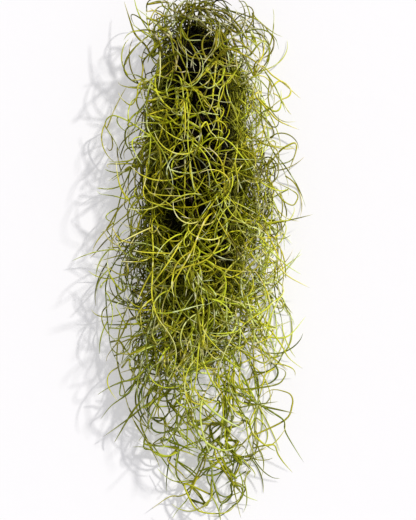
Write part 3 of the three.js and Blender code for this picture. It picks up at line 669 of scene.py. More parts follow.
def row_at(table, y):
    """The row of a table at y, read off straight between its stations."""
    if y >= table[0][0]:
        return table[0][1:]
    for upper, lower in zip(table, table[1:]):
        if lower[0] <= y:
            share = (upper[0] - y) / (upper[0] - lower[0])
            return tuple(a + (b - a) * share for a, b in zip(upper[1:], lower[1:]))
    return table[-1][1:]


def depth_at(place):
    """How far out a place lies in the outline's section, 1 being the outline, and the way out."""
    middle, half_width, height = row_at(OUTLINE, place.y)
    out = Vector(((place.x - middle) / half_width, 0, place.z / height))
    share = out.length
    return share, out / max(share, LEAST)


def open_at(y):
    """How loose the bunch is at that height: 0 over the heart, 1 in the tail."""
    return np.clip((y - OPEN_FROM) / (OPEN_TO - OPEN_FROM), 0, 1)


def heart_place(y, angle):
    """A place on the heart's surface, which is cut flat where it rests."""
    middle, half_width = row_at(HEART, y)
    waves = sum(math.sin(around * angle + y / along) for around, along in LUMP_WAVES)
    out = half_width * (1 + LUMP / 2 * waves)
    z = HEART_MIDDLE_Z + HEART_FLATTENING * out * math.sin(angle)
    return Vector((middle + out * math.cos(angle), y, max(z, 0)))


def heart_normal(y, angle):
    step = 0.5
    turn = 0.02
    along = heart_place(y - step, angle) - heart_place(y + step, angle)
    around = heart_place(y, angle + turn) - heart_place(y, angle - turn)
    return around.cross(along).normalized()


# What the painted shade and the painted highlights of the living threads are worked out from
def outer_at(place):
    """How far out a place lies: 0 at the heart, and 1 at the outline or in the loose tail."""
    middle, half_width = row_at(HEART, place.y)
    across = (place.x - middle) / HEART_SHADE_WIDTH
    section = math.hypot(across, (place.z - HEART_MIDDLE_Z) / HEART_FLATTENING)
    past_end = max(place.y - HEART[0][0], HEART[-1][0] - place.y, 0)
    off_heart = math.hypot(max(section - half_width, 0), past_end)
    inside = max(1 - depth_at(place)[0], 0) * row_at(OUTLINE, place.y)[1]
    outer = off_heart / max(off_heart + inside, LEAST)
    return outer + (1 - outer) * open_at(place.y)


def heart_ring_y(ring):
    return HEART[0][0] - ring * HEART_PITCH


def meets_heart(place, radius):
    """True if a ball of that radius there would meet the heart."""
    middle, half_width = row_at(HEART, place.y)
    if half_width == 0:
        return False
    wide = half_width * (1 + LUMP) + radius
    high = half_width * (1 + LUMP) * HEART_FLATTENING + radius
    return math.hypot((place.x - middle) / wide, (place.z - HEART_MIDDLE_Z) / high) < 1


class Grown:
    """All the straight stretches that have grown, to keep the festoons clear of each other."""

    def __init__(self, room=6000):
        self.starts = np.zeros((room, 3))
        self.ends = np.zeros((room, 3))
        self.radii = np.zeros(room)
        self.owners = np.zeros(room, int)
        self.count = 0

    def keep(self, owner, path, radius):
        for a, b in zip(path, path[1:]):
            self.starts[self.count] = a
            self.ends[self.count] = b
            self.radii[self.count] = radius
            self.owners[self.count] = owner
            self.count += 1

    def gaps(self, a, b):
        """Least distance from the stretch a-b to each that has grown."""
        a, b = np.array(a, float), np.array(b, float)
        c, d = self.starts[: self.count], self.ends[: self.count]
        ab, cd, ca = b - a, d - c, a - c
        abab, cdcd, abcd = ab @ ab, (cd * cd).sum(1), cd @ ab
        abca, cdca = ca @ ab, (cd * ca).sum(1)
        cross = abab * cdcd - abcd * abcd
        skew = cross > PARALLEL
        s = np.where(skew, np.clip((abcd * cdca - abca * cdcd) / np.where(skew, cross, 1), 0, 1), 0)
        t = (abcd * s + cdca) / cdcd
        past = (t < 0) | (t > 1)
        t = np.clip(t, 0, 1)
        s = np.where(past, np.clip((abcd * t - abca) / abab, 0, 1), s)
        return np.linalg.norm(ca + ab * s[:, None] - cd * t[:, None], axis=1)

    def is_clear(self, owner, path, radius):
        """True if a thread along the path keeps the source's rules on its room."""
        for p in path:
            inside = abs(p.x) < HALF_WIDTH - BOX_MARGIN and abs(p.y) < HALF_LENGTH - BOX_MARGIN
            reach = 1 + OUTLINE_REACH / row_at(OUTLINE, p.y)[1]
            if not inside or p.z >= TOP or depth_at(p)[0] >= reach:
                return False
        for i, (a, b) in enumerate(zip(path, path[1:])):
            free = i == 0 or owner == HEART_OWNER
            off_heart = radius + CLEAR
            if not free and (meets_heart((a + b) / 2, off_heart) or meets_heart(b, off_heart)):
                return False
            near = self.gaps(a, b) <= radius + self.radii[: self.count] + CLEAR
            if i == 0:
                root = np.array(path[0], float)
                from_root = np.minimum(
                    np.linalg.norm(self.starts[: self.count] - root, axis=1),
                    np.linalg.norm(self.ends[: self.count] - root, axis=1),
                )
                near &= ~((self.owners[: self.count] == owner) & (from_root < CROWDED))
            if near.any():
                return False
        return True

    def first_clear(self, owner, seed, tries, radius, grow):
        for i in range(tries):
            path = grow(Draws(seed + i))
            if self.is_clear(owner, path, radius):
                self.keep(owner, path, radius)
                return path
        return None


def land(place, heading, radius):
    """A place is lifted off the surface that the bunch lies on, and its heading no longer dips."""
    if place.z < radius:
        place.z = radius
        heading.z = max(heading.z, 0)
        heading.normalize()


def grow_stem(draw, root, normal, tier, sway_share=SWAY, step=STEM_STEP):
    """A stem stands straight out of the heart, then falls, wanders and keeps to its own depth."""
    place = root + normal * NECK
    path = [root.copy(), place.copy()]
    heading = normal.copy()
    sway = draw.any_way()
    for _ in range(round(tier["length"] / step)):
        share, out = depth_at(place)
        sway = (sway + draw.any_way() * SWAY_TURN).normalized()
        heading += out * ((tier["shell"] - share) * HOLD - heading.dot(out) * EASE)
        heading += sway * sway_share
        heading.y -= tier["fall"]
        heading.normalize()
        place += heading * step
        land(place, heading, STEM_RADIUS)
        path.append(place.copy())
    return path


def grow_leaf(draw, root, along):
    """A leaf leaves its joint at a slant, mostly outwards, and curls about a leaning axis."""
    length = draw.between(*LEAF_LENGTH)
    slant = math.radians(draw.between(*LEAF_SLANT))
    curl = math.radians(draw.between(*LEAF_CURL)) / LEAF_STEPS
    tilt = math.radians(draw.between(-LEAF_TILT, LEAF_TILT))
    aside = draw.any_way() + depth_at(root)[1] * LEAF_OUTWARD
    aside = (aside - along * aside.dot(along)).normalized()
    heading = along * math.cos(slant) + aside * math.sin(slant)
    axis = heading.cross(draw.any_way()).normalized()
    place = root.copy()
    path = [root.copy()]
    for _ in range(LEAF_STEPS):
        place += heading * (length / LEAF_STEPS)
        land(place, heading, LEAF_RADIUS)
        path.append(place.copy())
        heading.rotate(Quaternion(axis, curl))
        axis.rotate(Quaternion(heading, tilt))
    return path


def grow_bare_stem(draw, y):
    """A bare stem comes out of the heart's upper side and bends back over it."""
    angle = math.pi * draw()
    normal = heart_normal(y, angle)
    place = heart_place(y, angle) - normal * BARE_SUNK
    heading = draw.any_way()
    heading = (heading - normal * heading.dot(normal)).normalized()
    axis = normal.cross(heading)
    heading = (heading + normal * draw.between(*BARE_RISE)).normalized()
    path = [place.copy()]
    for _ in range(LEAF_STEPS):
        place += heading * (BARE_LENGTH / LEAF_STEPS)
        land(place, heading, STEM_RADIUS)
        path.append(place.copy())
        heading.rotate(Quaternion(axis, math.radians(BARE_CURL) / LEAF_STEPS))
    return path


def grow_long_leaf(draw, root, tip):
    """A long leaf is one bow from its root to its given tip."""
    bend = root.lerp(tip, LONG_LEAF_BEND)
    bend += draw.any_way() * (LONG_LEAF_BOW * (root - tip).length)
    path = []
    for i in range(LEAF_STEPS + 2):
        t = i / (LEAF_STEPS + 1)
        place = root * (1 - t) ** 2 + bend * (2 * t * (1 - t)) + tip * t * t
        place.z = max(place.z, LEAF_RADIUS)
        path.append(place)
    return path


def grow_festoons():
    """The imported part's festoons and bare stems again, by its own rule and seeds."""
    grown = Grown()
    festoons = []
    for tier in TIERS:
        for k in range(tier["count"]):
            owner = len(festoons)
            degrees = tier["first"] + (tier["last"] - tier["first"]) * k / (tier["count"] - 1)
            angle = 2 * math.pi * round(degrees * HEART_AROUND / 360) / HEART_AROUND
            y = heart_ring_y(tier["ring"] + k % 2)
            normal = heart_normal(y, angle)
            root = heart_place(y, angle) + normal * ROOT_GAP
            stem = grown.first_clear(
                owner, STEM_SEED * owner, STEM_TRIES, STEM_RADIUS,
                lambda draw: grow_stem(draw, root, normal, tier),
            )
            if stem is None:
                raise RuntimeError(f"No stem grew for {tier['name']} festoon {k + 1}")
            festoons.append(dict(tier=tier, k=k + 1, y=y, angle=angle, stem=stem, leaves=[]))
    bare_stems = []
    for k in range(BARE_STEMS):
        y = BARE_FROM + (BARE_TO - BARE_FROM) * k / (BARE_STEMS - 1)
        seed = BARE_SEED + STEM_TRIES * k
        path = grown.first_clear(
            HEART_OWNER, seed, STEM_TRIES, STEM_RADIUS, lambda draw: grow_bare_stem(draw, y)
        )
        if path:
            bare_stems.append(path)
    for k, (near, tip) in enumerate(LONG_LEAVES):
        near, tip = Vector(near), Vector(tip)
        joints = [(owner, p) for owner, f in enumerate(festoons) for p in f["stem"][2:]]
        owner, joint = min(joints, key=lambda found: (found[1] - near).length)
        for i in range(LEAF_TRIES):
            path = grow_long_leaf(Draws(LONG_LEAF_SEED + LEAF_TRIES * k + i), joint, tip)
            if grown.is_clear(owner, path[:-2], LEAF_RADIUS):
                grown.keep(owner, path, LEAF_RADIUS)
                festoons[owner]["leaves"].append(path)
                break
    for leaf in range(LEAVES):
        for owner, festoon in enumerate(festoons):
            stem = festoon["stem"]
            stretch = 1 + math.floor((len(stem) - 2) * (leaf + 0.5) / LEAVES)
            above, below = stem[stretch], stem[stretch + 1]
            root = (above + below) / 2
            along = (below - above).normalized()
            seed = LEAF_SEED + LEAF_TRIES * (leaf + LEAVES * owner)
            path = grown.first_clear(
                owner, seed, LEAF_TRIES, LEAF_RADIUS, lambda draw: grow_leaf(draw, root, along)
            )
            if path:
                festoon["leaves"].append(path)
    return festoons, bare_stems


def inside_bunch(path, reach):
    """True if the whole path is in the bunch's box and no further out of its outline than reach."""
    for p in path:
        if abs(p.x) > HALF_WIDTH or abs(p.y) > HALF_LENGTH or p.z > TOP:
            return False
        if depth_at(p)[0] > 1 + reach / row_at(OUTLINE, p.y)[1]:
            return False
    return True


def smooth(path, parts):
    """More points, on a smooth line through the path's own."""
    p = np.array([tuple(place) for place in path])
    p = np.vstack([2 * p[0] - p[1], p, 2 * p[-1] - p[-2]])
    a, b, c, d = p[:-3], p[1:-2], p[2:-1], p[3:]
    rows = []
    for t in np.arange(parts) / parts:
        linear = (c - a) * t
        square = (2 * a - 5 * b + 4 * c - d) * t**2
        cube = (3 * b - a - 3 * c + d) * t**3
        rows.append(b + (linear + square + cube) / 2)
    return np.vstack([np.stack(rows, 1).reshape(-1, 3), p[-2]])


class Thread:
    """One thread: its line, its radius there, and what its finish is worked out from."""

    def __init__(self, path, parts, radius, shade, age=0.0, sheath=0.0):
        line = smooth(path, parts)
        first = line[0] + (line[1] - line[0]) * (CAP / np.linalg.norm(line[1] - line[0]))
        line = np.vstack([line[:1], first, line[1:]])
        lengths = np.linalg.norm(np.diff(line, axis=0), axis=1)
        self.along = np.concatenate([[0], np.cumsum(lengths)]) / lengths.sum()
        taper = 1 - (1 - TIP_SHARE) * np.clip(2 * self.along - 1, 0, 1) ** TAPER
        swell = 1 + sheath * np.exp(-self.along / SHEATH_LENGTH)
        self.radii = radius * taper * swell
        self.radii[0] = self.radii[-1] = 0
        line[:, 2] = np.maximum(line[:, 2], self.radii)
        self.line = line
        places = [Vector(p) for p in line]
        # How far out each point lies, which sets its painted shade; on the sun's side it counts further
        # out
        self.outer = np.array([max(outer_at(p), outer_at(p + SHADE_SHIFT)) for p in places])
        self.shade = np.full(len(line), shade)
        self.age = np.full(len(line), age)


def grow_fine_leaf(draw, root, along):
    """A fine leaf is one smooth arc, or an S, that turns back to the bunch more often than not."""
    loose = open_at(root.y)
    length = draw.between(*FINE_LEAF_LENGTH) + OPEN_LENGTH * loose
    slant = math.radians(draw.between(*FINE_LEAF_SLANT) + OPEN_SLANT * loose)
    low, high = FINE_LEAF_CURL
    most = high - low + OPEN_CURL * loose
    curl = math.radians(low + most * draw() ** FINE_LEAF_CURLING) / FINE_LEAF_STEPS
    tilt = math.radians(draw.between(-FINE_LEAF_TILT, FINE_LEAF_TILT)) / FINE_LEAF_STEPS
    hook = draw.between(*HOOK)
    out = depth_at(root)[1]
    aside = draw.any_way() + out * (FINE_LEAF_OUTWARD + OPEN_OUTWARD * loose)
    aside = (aside - along * aside.dot(along)).normalized()
    heading = along * math.cos(slant) + aside * math.sin(slant)
    axis = heading.cross(draw.any_way() - out * FINE_LEAF_RETURN).normalized()
    place = root.copy()
    path = [root.copy()]
    for i in range(FINE_LEAF_STEPS):
        place += heading * (length / FINE_LEAF_STEPS)
        land(place, heading, LEAF_RADIUS)
        path.append(place.copy())
        turn = curl * (1 + hook * (2 * i / (FINE_LEAF_STEPS - 1) - 1))
        heading.rotate(Quaternion(axis, turn))
        axis.rotate(Quaternion(heading, tilt))
    return path


def thickness_at(y):
    """How much thicker than over the heart the threads are at that height."""
    return 1 + OPEN_THICKNESS * open_at(y)


def grow_shoot(draw, festoon):
    """A fine shoot's threads: its stem beside the festoon's, and one or two leaves at a joint."""
    tier = festoon["tier"]
    angle = festoon["angle"] + math.radians(draw.between(-SHOOT_TURN, SHOOT_TURN))
    y = festoon["y"] + draw.between(-SHOOT_SHIFT, SHOOT_SHIFT)
    normal = heart_normal(y, angle)
    side = math.cos(angle)
    for _ in range(SHOOT_TRIES):
        shell = draw.between(*SHOOT_SHELL) * (1 - SIDE_SHELL * abs(side) + RIGHT_SHELL * side)
        length = tier["length"] * tier["share"] * draw.between(*SHOOT_LENGTH)
        loose = open_at(y - length / 2)
        fall = tier["fall"] * (1 + OPEN_FALL * loose)
        own = dict(shell=tier["shell"] * (shell + tier["spread"]), length=length, fall=fall)
        sway = draw.between(*SHOOT_SWAY) + OPEN_SWAY * loose
        stem = grow_stem(draw, heart_place(y, angle), normal, own, sway, SHOOT_STEP)
        if inside_bunch(stem, 0):
            break
    else:
        return []
    # Painted light at the right, on the sun's side, and painted shade at the left
    tone = min(max(draw() + SIDE_PAINTED_LIGHT * side, 0), 1)
    radius = draw.between(*SHOOT_RADIUS) * thickness_at(stem[len(stem) // 2].y)
    threads = [Thread(stem, STEM_PARTS, radius, tone)]
    for above, below in zip(stem[1:], stem[2:]):
        along = (below - above).normalized()
        for _ in range(LEAVES_AT_JOINT[int(draw() * len(LEAVES_AT_JOINT))]):
            root = above.lerp(below, draw())
            low, high = FINE_LEAF_REACH
            reach = low + (high - low) * draw() ** 2 + OPEN_REACH * open_at(root.y)
            shade = min(max(tone + draw.between(-LEAF_TONE, LEAF_TONE), 0), 1)
            age = 1.0 if draw() < AGED else 0.0
            radius = draw.between(*FINE_LEAF_RADIUS) * thickness_at(root.y)
            for _ in range(LEAF_RETRIES):
                path = grow_fine_leaf(draw, root, along)
                if inside_bunch(path, reach):
                    threads.append(Thread(path, LEAF_PARTS, radius, shade, age, FINE_SHEATH))
                    break
    return threads


def grow_riser(draw):
    """A riser's threads: a stem from the heart's top to the end of the bunch, with a leaf or two."""
    angle = math.radians(draw.between(*RISER_ROOT_ANGLE))
    place = heart_place(draw.between(*RISER_ROOT_Y), angle)
    rise = (HALF_LENGTH - place.y) / RISER_STEPS
    path = [place.copy()]
    for _ in range(RISER_STEPS):
        aside = draw.between(-RISER_LEAN, RISER_LEAN)
        place += Vector((aside, rise, draw.between(-RISER_DIP, RISER_LEAN)))
        path.append(place.copy())
    tone = draw()
    threads = [Thread(path, LOOP_PARTS, draw.between(*SHOOT_RADIUS), tone)]
    for above, below in zip(path[:-2], path[1:]):
        leaf = grow_fine_leaf(draw, above.lerp(below, draw()), (above - below).normalized())
        if inside_bunch(leaf, 0):
            radius = draw.between(*FINE_LEAF_RADIUS)
            threads.append(Thread(leaf, LEAF_PARTS, radius, draw(), sheath=FINE_SHEATH))
    return threads


def seen_at(x, y, height):
    """The place at that height that the camera sees at that pixel."""
    pixel = PIXEL * (VIEW_DISTANCE + FRAME_PLANE - height) / VIEW_DISTANCE
    across, down = PICTURE
    return Vector((FRAME_MIDDLE_X + (x - across / 2) * pixel, (down / 2 - y) * pixel, height))


def grow_strays(festoons):
    """The stray strands of each festoon, each from the stem that is nearest to it."""
    joints = [(owner, p) for owner, f in enumerate(festoons) for p in f["stem"][2:]]
    strays = {owner: [] for owner in range(len(festoons))}
    for group, strands in STRAYS.items():
        for strand in strands:
            places = [seen_at(*place) for place in strand]
            owner, joint = min(joints, key=lambda found: (found[1] - places[0]).length)
            strays[owner].append(([joint, *places], STRAY_TONES[group]))
    return strays


def grow_dead_thread(draw):
    """A dead thread wanders down over the heart, at times a little off it."""
    top, bottom = HEART[0][0], HEART[-1][0]
    y = draw.between(bottom + DEAD_ENDS[0], top - DEAD_ENDS[1])
    angle = 2 * math.pi * draw()
    way = math.radians(draw.between(-DEAD_WAY, DEAD_WAY))
    lift = 2 * math.pi * draw()
    path = []
    for i in range(round(draw.between(*DEAD_LENGTH) / DEAD_STEP)):
        if y < bottom + DEAD_END_ROOM:
            break
        y = min(y, top - DEAD_END_ROOM)
        rise = (1 + math.sin(lift + i * DEAD_WAVE)) / 2
        rise = DEAD_RISE[0] + (DEAD_RISE[1] - DEAD_RISE[0]) * rise
        place = heart_place(y, angle) + heart_normal(y, angle) * rise
        path.append(place)
        half_width = max(row_at(HEART, y)[1], DEAD_NARROWEST)
        y -= DEAD_STEP * math.cos(way)
        angle += DEAD_STEP * math.sin(way) / half_width
        way += math.radians(draw.between(-DEAD_WANDER, DEAD_WANDER))
    return path


class Socket:
    """A shader socket that can stand in a Python sum: each operator adds its Math node."""

    def __init__(self, shader, socket):
        self.shader = shader
        self.socket = socket

    def __add__(self, other):
        return self.shader.math("ADD", self, other)

    def __sub__(self, other):
        return self.shader.math("SUBTRACT", self, other)

    def __rsub__(self, other):
        return self.shader.math("SUBTRACT", other, self)

    def __mul__(self, other):
        return self.shader.math("MULTIPLY", self, other)

    __radd__ = __add__
    __rmul__ = __mul__


class Shader:
    """A material that is built up from its nodes."""

    def __init__(self, name):
        self.material = bpy.data.materials.new(name)
        self.material.use_nodes = True
        self.tree = self.material.node_tree
        self.tree.nodes.clear()

    def node(self, kind, settings=None, inputs=None, output=0):
        """Adds a node of that type: its settings first, then the values or links of its sockets."""
        node = self.tree.nodes.new("ShaderNode" + kind)
        for key, value in (settings or {}).items():
            setattr(node, key, value)
        for key, value in (inputs or {}).items():
            if isinstance(value, Socket):
                self.tree.links.new(value.socket, node.inputs[key])
            else:
                node.inputs[key].default_value = value
        return Socket(self, node.outputs[output]) if node.outputs else None

    def math(self, operation, first, second=0.0, clamp=False):
        """A Math node on numbers or sockets, kept between 0 and 1 if clamp says so."""
        settings = dict(operation=operation, use_clamp=clamp)
        return self.node("Math", settings, {0: first, 1: second})

    def attribute(self, name):
        return self.node("Attribute", dict(attribute_name=name), output="Fac")

    def noise(self, place, scale, detail=2.0, stretch=(1, 1, 1)):
        """Noise from 0 to 1, with its scale in lumps a metre."""
        turned = self.node("Mapping", {}, {"Vector": place, "Scale": stretch})
        sockets = {"Vector": turned, "Scale": scale, "Detail": detail}
        return self.node("TexNoise", {}, sockets, "Fac")

    def step(self, value, low, high):
        """0 below low, 1 above high, and smooth between them."""
        settings = dict(interpolation_type="SMOOTHSTEP")
        sockets = {"Value": value, "From Min": low, "From Max": high}
        return self.node("MapRange", settings, sockets)

    def level(self, share, low, high):
        """A value that goes evenly from low to high as share goes from 0 to 1."""
        return share * (high - low) + low

    def axis(self, place, name):
        """How far along one axis a place is, in metres."""
        return self.node("SeparateXYZ", {}, {"Vector": place}, name)

    def aside(self, place, middle):
        """How far a place is to either side of the middle, in metres."""
        return self.math("ABSOLUTE", self.axis(place, "X") - middle)

    def mix(self, share, first, second, blend="MIX"):
        """A colour between two, or the second laid on the first as blend says."""
        settings = dict(data_type="RGBA", blend_type=blend)
        sockets = {0: share, 6: first, 7: second}
        return self.node("Mix", settings, sockets, 2)

    def finish(self, colour, roughness, height, depth, constants):
        """The surface: its colour, its roughness, and a relief of that depth in metres."""
        bump = self.node("Bump", {}, {"Height": height, "Distance": depth, "Strength": 1.0})
        sockets = {"Base Color": colour, "Roughness": roughness, "Normal": bump, **constants}
        surface = self.node("BsdfPrincipled", {}, sockets)
        self.node("OutputMaterial", {}, {"Surface": surface})
        return self.material


def opaque(colour):
    return (*colour, 1.0)


def living_finish(settings):
    """Soft waxy green, olive and in painted shade inside the bunch, brown at the roots, pale at the
    tips.
    """
    s = Shader("living_moss")
    olive = opaque(settings.olive)
    tip = opaque(settings.tip)
    place = s.node("TexCoord", output="Object")
    height = s.axis(place, "Y")
    along, shade, outer, age = (s.attribute(mark) for mark in THREAD_MARKS)
    scurf = s.noise(place, SCURF, FINE_DETAIL)
    young = s.step(shade * OWN_YOUTH + s.noise(place, CLUMPS) * CLUMP_YOUTH, *YOUTH)
    colour = s.mix(s.level(young, *YOUNG_SHARE), olive, opaque(settings.young_green))
    colour = s.mix(s.step(shade, *PALE_SHADES) * PALE_SHARE, colour, tip)
    tail = (1 - s.step(height, *TAIL_Y)) * TAIL_SHARE
    colour = s.mix(tail, colour, opaque(settings.tail_green))
    flank = s.step(s.aside(place, CROWN_MIDDLE_X), *CROWN_FLANK)
    crown = s.step(height, *CROWN_Y) * s.level(flank, *CROWN_SHARE)
    colour = s.mix(crown, colour, olive)
    brown = (1 - s.step(along, *LEAF_BASE)) * s.step(shade, *BROWN_SHADES) * BROWN_SHARE
    brown = s.math("ADD", brown, age * WITHERED_SHARE, clamp=True)
    colour = s.mix(brown, colour, opaque(settings.brown))
    colour = s.mix(s.step(along, *LEAF_END) * LEAF_END_SHARE, colour, tip)
    # Painted highlights, in pale patches on the outer threads
    painted_highlight = s.step(s.noise(place, HIGHLIGHT_PATCHES), *HIGHLIGHT_EDGE) * s.step(outer, *HIGHLIGHT_OUTER)
    painted_highlight = painted_highlight * s.level(s.step(height, *HIGHLIGHT_Y), *HIGHLIGHT_SHARE)
    colour = s.mix(painted_highlight, colour, tip)
    # Painted shade: darker towards the heart and low in the tail, times the scurf's own speckle
    lit = s.level(s.step(outer, *LIT_OUTER), *LIT)
    scurf_and_painted_shade = lit * s.level(scurf, *DUST) * s.level(s.step(height, *LOW_Y), *LOW_LIGHT)
    hue = s.math("FRACT", shade * HUE_STEP)
    channels = {
        "Red": scurf_and_painted_shade * s.level(hue, *RED_HUE),
        "Green": scurf_and_painted_shade * s.level(hue, *GREEN_HUE),
        # Blue falls faster in the painted shade, so shaded threads are deeper in colour
        "Blue": scurf_and_painted_shade * scurf_and_painted_shade * lit * lit * lit,
    }
    colour = s.mix(1.0, colour, s.node("CombineColor", {}, channels), "MULTIPLY")
    roughness = s.level(scurf, *LIVING_ROUGHNESS)
    return s.finish(colour, roughness, scurf, SCURF_RELIEF, {"Specular IOR Level": LIVING_SHEEN})


def dead_finish(settings):
    """Matt and near black, with a little brown where threads have worn, and olive lower down."""
    s = Shader("dead_moss")
    place = s.node("TexCoord", output="Object")
    shade = s.attribute("shade")
    grain = s.noise(place, GRAIN, FINE_DETAIL, GRAIN_STRETCH)
    worn = s.step(shade, *WORN_SHADES) * s.step(grain, *WORN_GRAIN)
    # The near black is the dead threads' own dark, deepened as painted shade of the bunch's inside
    colour = s.mix(worn, opaque(settings.dead), opaque(settings.dead_brown))
    low = s.mix(shade, opaque(settings.dead_olive), opaque(settings.fading))
    low_end = 1 - s.step(s.axis(place, "Y"), *HEART_LOW_Y)
    side = s.step(s.aside(place, HEART_MIDDLE_X), *HEART_SIDE) * HEART_SIDE_SHARE
    colour = s.mix(s.math("MAXIMUM", low_end, side), colour, low)
    roughness = s.level(grain, *DEAD_ROUGHNESS)
    return s.finish(colour, roughness, grain, GRAIN_RELIEF, {"Specular IOR Level": DEAD_SHEEN})


def make_threads(name, threads, thickness, material, node, sides):
    """A piece of many threads: bevelled curves that are made one mesh, with their ends drawn in."""
    curve = bpy.data.curves.new(name, "CURVE")
    curve.dimensions = "3D"
    curve.bevel_depth = thickness / (2 * FINE_STEM)
    curve.bevel_resolution = sides // 2 - 2
    for thread in threads:
        line = curve.splines.new("POLY")
        line.points.add(len(thread.line) - 1)
        places = np.column_stack([thread.line * MM, np.ones(len(thread.line))])
        line.points.foreach_set("co", places.ravel())
        line.points.foreach_set("radius", thread.radii)
    holder = bpy.data.objects.new(name, curve)
    bpy.context.scene.collection.objects.link(holder)
    ready = bpy.context.evaluated_depsgraph_get()
    mesh = bpy.data.meshes.new_from_object(holder.evaluated_get(ready), depsgraph=ready)
    bpy.data.objects.remove(holder)
    bpy.data.curves.remove(curve)
    mesh.name = name
    for mark in THREAD_MARKS:
        values = np.repeat(np.concatenate([getattr(thread, mark) for thread in threads]), sides)
        if len(values) != len(mesh.vertices):
            raise RuntimeError(f"{name} has {len(mesh.vertices)} vertices and not {len(values)}")
        mesh.attributes.new(mark, "FLOAT", "POINT").data.foreach_set("value", values)
    lay_out(mesh, [(len(thread.line) - 1) * sides * FACE_CORNERS for thread in threads])
    shape = bmesh.new()
    shape.from_mesh(mesh)
    bmesh.ops.remove_doubles(shape, verts=shape.verts, dist=WELD)
    shape.to_mesh(mesh)
    shape.free()
    make_piece(name, mesh, material, node)


def lay_out(mesh, corners):
    """Gives each thread's faces a long cell of their own in the mesh's map."""
    columns = max(round(math.sqrt(len(corners) / MAP_SHAPE)), 1)
    rows = math.ceil(len(corners) / columns)
    own = np.repeat(np.arange(len(corners)), corners)
    layer = mesh.uv_layers[0]
    layer.name = BAKE_MAP
    uv = np.zeros(len(mesh.loops) * 2, np.float32)
    layer.data.foreach_get("uv", uv)
    uv = uv.reshape(-1, 2)
    cells = ((own % columns, columns), (own // columns, rows))
    for axis, ((cell, count), margin) in enumerate(zip(cells, MAP_MARGINS)):
        uv[:, axis] = (cell + margin + (1 - 2 * margin) * uv[:, axis]) / count
    layer.data.foreach_set("uv", uv.ravel())


def make_piece(name, mesh, material, node):
    mesh.materials.clear()
    mesh.materials.append(material)
    piece = bpy.data.objects.new(name, mesh)
    bpy.context.scene.collection.objects.link(piece)
    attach(piece, "root")
    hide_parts(node)


def colour_property(name, description, default):
    return bpy.props.FloatVectorProperty(
        name=name, description=description, subtype="COLOR", size=3, min=0, max=1, default=default
    )


class MossSettings(bpy.types.PropertyGroup):
    """Colours, fullness and thickness of the bunch."""

    thickness: bpy.props.FloatProperty(
        name="Thickness",
        description="Thickness of a festoon's own stem, which that of all other threads follows",
        subtype="DISTANCE",
        unit="LENGTH",
        min=0.0002,
        max=0.003,
        default=2 * FINE_STEM * MM,
    )
    fullness: bpy.props.FloatProperty(
        name="Fullness",
        description="Fine shoots round each festoon, as a share of the usual number",
        subtype="FACTOR",
        min=0,
        max=1,
        default=1,
    )
    young_green: colour_property("Young green", "Outer stems and leaves", (0.617, 0.61, 0.036))
    olive: colour_property("Olive", "Older stems and leaves", (0.1, 0.098, 0.001))
    brown: colour_property("Brown", "Leaf bases and withered leaves", (0.17, 0.105, 0.02))
    tail_green: colour_property("Tail green", "Tint of the tail", (0.2, 0.28, 0.01))
    # The tip colour is also that of the pale threads and of the painted highlights
    tip: colour_property("Tip", "Leaf tips", (0.94, 0.93, 0.62))
    # Near black: the dead threads' own dark, deepened as painted shade; the heart's core has it too
    dead: colour_property("Dead", "Dead threads in the heart", (0.004, 0.0034, 0.002))
    dead_brown: colour_property("Worn", "Worn dead threads", (0.05, 0.03, 0.018))
    dead_olive: colour_property("Dead olive", "Dead threads low down", (0.08, 0.08, 0.01))
    fading: colour_property("Fading green", "Threads low down that still fade", (0.42, 0.43, 0.03))


class StageSettings(bpy.types.PropertyGroup):
    """Floor, lights and camera."""

    floor: colour_property("Floor", "Plain pale floor", (0.5, 0.494, 0.505))
    floor_size: bpy.props.FloatProperty(
        name="Floor size",
        description="Length of each side of the floor",
        subtype="DISTANCE",
        unit="LENGTH",
        min=0.5,
        default=FLOOR_SIZE,
    )
    glow: bpy.props.FloatProperty(
        name="Glow", description="Light that the floor gives off", min=0, default=0.815
    )
    key: bpy.props.FloatProperty(
        name="Key light", description="Strength of the key light", min=0, default=3.5
    )
    fill: bpy.props.FloatProperty(
        name="Fill", description="Strength of the light from all round", min=0, default=0.45
    )
    softness: bpy.props.FloatProperty(
        name="Softness",
        description="How wide the key light is, as seen from the bunch",
        subtype="ANGLE",
        min=0,
        default=math.radians(3),
    )
    lens: bpy.props.FloatProperty(
        name="Lens", description="Focal length", subtype="DISTANCE_CAMERA", min=1, default=LENS
    )


class MOSS_OT_heart(bpy.types.Operator):
    """Adds the heart's dark core and the dead threads on it"""

    bl_idname = "moss.heart"
    bl_label = "Heart"

    def execute(self, context):
        settings = context.scene.moss
        material = dead_finish(settings)
        make_core(material)
        bare_stems = grow_festoons()[1]
        threads = [Thread(path, STEM_PARTS, STEM_RADIUS, BARE_TONE) for path in bare_stems]
        for places in WITHERED:
            path = [Vector(place) for place in places]
            threads.append(Thread(path, LOOP_PARTS, STEM_RADIUS, WITHERED_TONE))
        for k in range(DEAD_THREADS):
            draw = Draws(THREAD_SEED + k)
            path = grow_dead_thread(draw)
            radius = draw.between(*DEAD_RADIUS)
            threads.append(Thread(path, LEAF_PARTS, radius, draw()))
        make_threads(
            "dead_threads", threads, settings.thickness, material, "heart", DEAD_SIDES
        )
        return {"FINISHED"}


